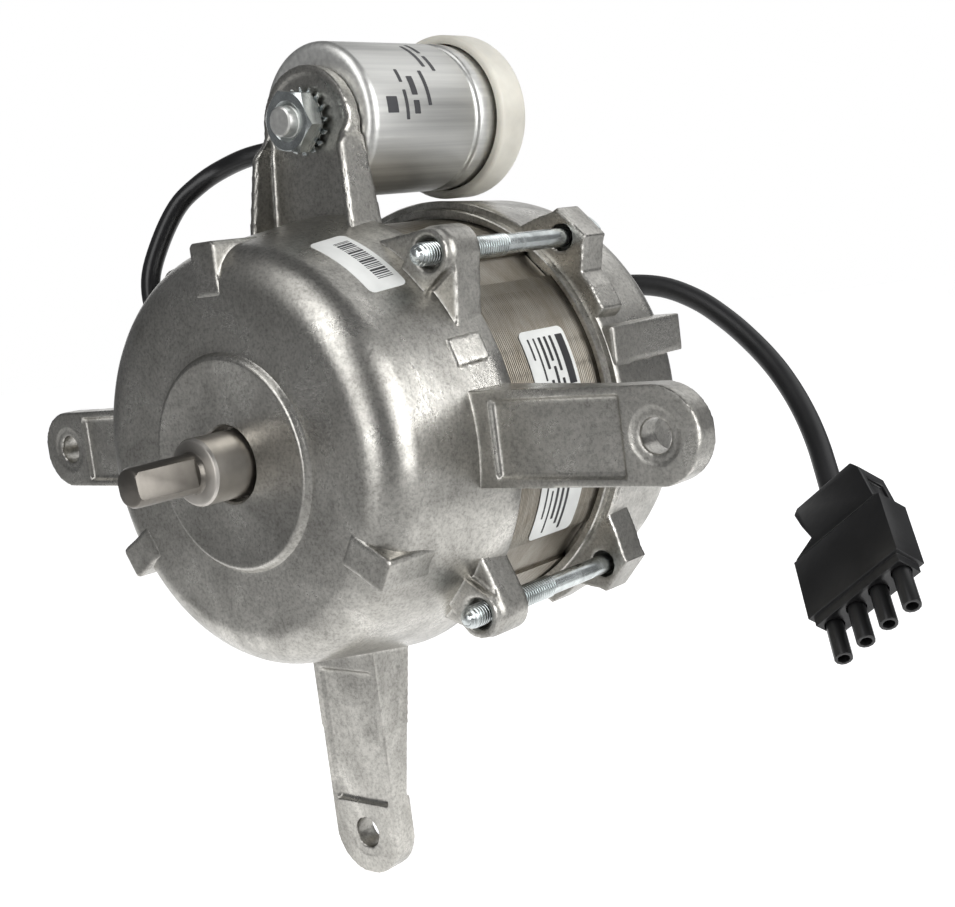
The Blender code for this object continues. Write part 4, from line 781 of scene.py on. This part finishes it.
# Capacitor
# A drawn aluminium can, brushed lengthwise, with a rolled groove near its open end and an M8
# stud in its base. The stud goes through the bracket and takes a toothed washer and a nut.
brushed, tree, shader, place = new_surface("brushed_aluminium")
strokes = noise(tree, stretched(tree, place, (900.0, 14.0, 900.0)), 1.0, 5.0)
feed(tree, shader, {
    "Metallic": 1.0,
    "Base Color": blend(tree, strokes, 0.25, 0.75, (0.66, 0.66, 0.64), (0.84, 0.84, 0.81)),
    "Roughness": gloss(tree, strokes, 0.36, 0.50),
    "Normal": relief(tree, strokes, 0.3, 0.00006)})

CAN_SPOT = (0.0, CAN_Z)
CAN_R = 17.7
can = as_object("capacitor_shell", turned(
    [(0.0, 15.3), (14.6, 15.3), *arc(15.5, 17.5, 2.2, -90.0, 0.0, 8), (CAN_R, 50.6),
     *arc(17.9, 52.0, 1.1, 250.0, 110.0, 8), (CAN_R, 53.4), (CAN_R, 56.6), (17.3, 57.6),
     (17.3, 61.4), (0.0, 61.4)], 160, CAN_SPOT))
finished(can, brushed, "capacitor_can", sharp=40.0)
stud = gathered("capacitor_stud", [
    thread(4.0, 1.25, 4.4, 10, CAN_SPOT),
    turned([(0.0, 3.6), (2.9, 3.6), (3.3, 3.9), (3.45, 4.8), (3.45, 16.0), (0.0, 16.0)], 48,
           CAN_SPOT)])
finished(stud, brushed, sharp=32.0)

print_marks = bmesh.new()
for y, height, dashes in ((22.2, 3.6, ((-3.0, 9.0),)),
                          (27.0, 1.1, ((-8.0, 14.0), (20.0, 31.0))),
                          (30.4, 2.0, ((-4.0, 6.0), (10.0, 25.0))),
                          (35.0, 1.2, ((2.0, 30.0),)),
                          (40.6, 1.2, ((30.0, 46.0), (50.0, 66.0))),
                          (37.8, 1.2, ((34.0, 62.0),))):
    for first, last in dashes:
        film(print_marks, 17.71, 0.0, y - height / 2, y + height / 2, first, last, 0.2, 0.02)
bmesh.ops.translate(print_marks, vec=(0.0, 0.0, CAN_Z * MM), verts=print_marks.verts[:])
print_grey = plastic("print_grey", (0.05, 0.05, 0.055), 0.45, 900.0, 0.05)
finished(as_object("can_print_bars", print_marks), print_grey)

cream = plastic("cream_cap", (0.80, 0.775, 0.69), 0.40, 260.0, 0.10)
feed(cream.node_tree, cream.node_tree.nodes["Principled BSDF"], {
    "Subsurface Weight": 0.12, "Subsurface Radius": (1.0, 0.8, 0.6), "Subsurface Scale": 0.0015})
cap = as_object("capacitor_cap", turned(
    [(2.8, 66.0), (17.9, 66.0), (17.9, 58.9), (18.3, 58.6), (19.4, 58.6),
     *arc(19.1, 59.5, 0.9, -60.0, 0.0, 3), (20.0, 62.0), *arc(16.0, 66.1, 4.0, 0.0, 90.0, 12),
     (3.4, 70.1), (2.8, 69.6)], 160, CAN_SPOT, ring=True))
finished(cap, cream, "capacitor_end_cap", sharp=40.0)

nut = hexagon_bar("capacitor_nut_turned", 13.0, 5.7, 10.3, 0.55, CAN_SPOT, -12.5)
combine(nut, [turned([(0.0, 4.0), (4.6, 4.0), (4.6, 5.8), (3.7, 6.5), (3.7, 12.0), (0.0, 12.0)],
                     48, CAN_SPOT)], "DIFFERENCE")
finished(nut, bright_zinc, "capacitor_nut", sharp=30.0)

TEETH = 16
HOLE_STEPS = 80
washer = bmesh.new()
ring = []
for i in range(TEETH):
    for r, share, y in ((6.3, 0.0, 11.1), (6.3, 0.45, 11.1), (7.6, 0.62, 10.85), (7.6, 0.92, 11.5)):
        x, z = polar(r, 360.0 * (i + share) / TEETH)
        ring.append(washer.verts.new((x * MM, y * MM, (CAN_Z + z) * MM)))
hole = []
for i in range(HOLE_STEPS):
    x, z = polar(4.4, 360.0 * i / HOLE_STEPS)
    hole.append(washer.verts.new((x * MM, 11.0 * MM, (CAN_Z + z) * MM)))
for loop in (ring, hole):
    for a, b in zip(loop, loop[1:] + loop[:1]):
        washer.edges.new((a, b))
bmesh.ops.bridge_loops(washer, edges=washer.edges[:])
bmesh.ops.recalc_face_normals(washer, faces=washer.faces[:])
bmesh.ops.solidify(washer, geom=washer.faces[:], thickness=0.45 * MM)
bmesh.ops.recalc_face_normals(washer, faces=washer.faces[:])
finished(as_object("toothed_washer", washer), bright_zinc, "capacitor_lock_washer",
         sharp=30.0)


# Plug and strain reliefs
# Black mouldings: the four-way housing with its sleeves, the cable clamp behind it, the boot on
# the rear shield and the grommet for the capacitor's lead. Their edges are slightly rounded.
def merge(shape, reach):
    """Makes close points one, and flat faces that meet one."""
    bmesh.ops.remove_doubles(shape, verts=shape.verts[:], dist=reach)
    bmesh.ops.dissolve_limit(shape, angle_limit=math.radians(1.5), verts=shape.verts[:],
                             edges=shape.edges[:])


def softened(node, name, width, cuts=(), filled=0.0):
    """A node's own solid, merged, with rounded edges; a round recess in it may be filled up."""
    shape = bmesh.new()
    shape.from_mesh(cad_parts[node].data)
    merge(shape, 1e-5)
    if filled:
        for face in shape.faces[:]:
            reach = [(vert.co - face.calc_center_median()).length for vert in face.verts]
            if len(reach) > 10 and max(reach) - min(reach) < 2e-5:
                bmesh.ops.translate(shape, vec=face.normal * filled * MM, verts=face.verts[:])
        merge(shape, 2e-5)
    made = as_object(name, shape)
    if cuts:
        combine(made, cuts, "DIFFERENCE")
    round_edges(made, width, 3, 35.0)
    return finished(made, moulding, node)


moulding = plastic("black_moulding", (0.011, 0.011, 0.0115), 0.30, 500.0, 0.30)
PLUG_TURNS = (-43.37, -36.94, 4.61)
plug_frame = (Matrix.Translation(CABLE_KNOTS[-1])
              @ Euler([math.radians(turn) for turn in PLUG_TURNS]).to_matrix().to_4x4())
window = plate([(12.9, -12.6), (17.0, -12.6), (17.0, -6.4), (12.1, -6.4)], -2.9, 2.9)
bmesh.ops.transform(window, matrix=plug_frame, verts=window.verts[:])
on_cable = [softened("plug_housing", "plug_shell", 0.8),
            softened("plug_clamp", "plug_cable_clamp", 0.6, [window], filled=2.0)]
for i in range(4):
    on_cable.append(softened(f"plug_contact_{i + 1}", f"plug_sleeve_{i + 1}", 0.25))

RIB_STEP = 2.5
boot = [(5.2, 71.5), (5.2, 78.9), (7.3, 78.9), (7.3, 81.0), (6.9, 81.7), (6.1, 81.8)]
at = 82.6
while at < 100.0:
    r = 6.0 - (at - 82.0) * 0.095
    boot += [(r, at), (r, at + 1.2), (r - 0.8, at + 1.5), (r - 0.9, at + 2.2)]
    at += RIB_STEP
boot += [(4.2, 101.3), (4.0, 101.8), (3.2, 101.8), (3.15, 71.5)]
on_cable.append(finished(as_object("cable_boot", turned(boot, 64, CABLE_HOLE, ring=True)),
                         moulding, "cable_gland", sharp=30.0))

softened("lead_grommet", "rubber_grommet", 0.4)


# Inner pieces
# The slotted stack, winding, rotor and both ball bearings sit inside, out of sight. They keep
# their own solids and get the finish of the real ones.
def paint(node, surface):
    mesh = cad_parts[node].data
    mesh.materials.clear()
    mesh.materials.append(surface)


enamel = turned_metal("enamelled_copper_wire", (0.42, 0.15, 0.06), 0.34, 900.0, 220.0)
cast_bars = cast_aluminium("cage_aluminium", (0.66, 0.66, 0.64), (0.48, 0.48, 0.47), 0.38)
retainer = plastic("retainer_nylon", (0.05, 0.045, 0.04), 0.5, 500.0, 0.2)
for node, surface in (("stator_core", laminations), ("stator_winding", enamel),
                      ("rotor_core", laminations), ("rotor_cage", cast_bars),
                      ("wave_washer", ground_steel)):
    paint(node, surface)
for end in ("front", "rear"):
    paint(end + "_bearing_outer_ring", ground_steel)
    paint(end + "_bearing_inner_ring", ground_steel)
    paint(end + "_bearing_retainer", retainer)
    for i in range(7):
        paint(f"{end}_bearing_ball_{i + 1}", ground_steel)
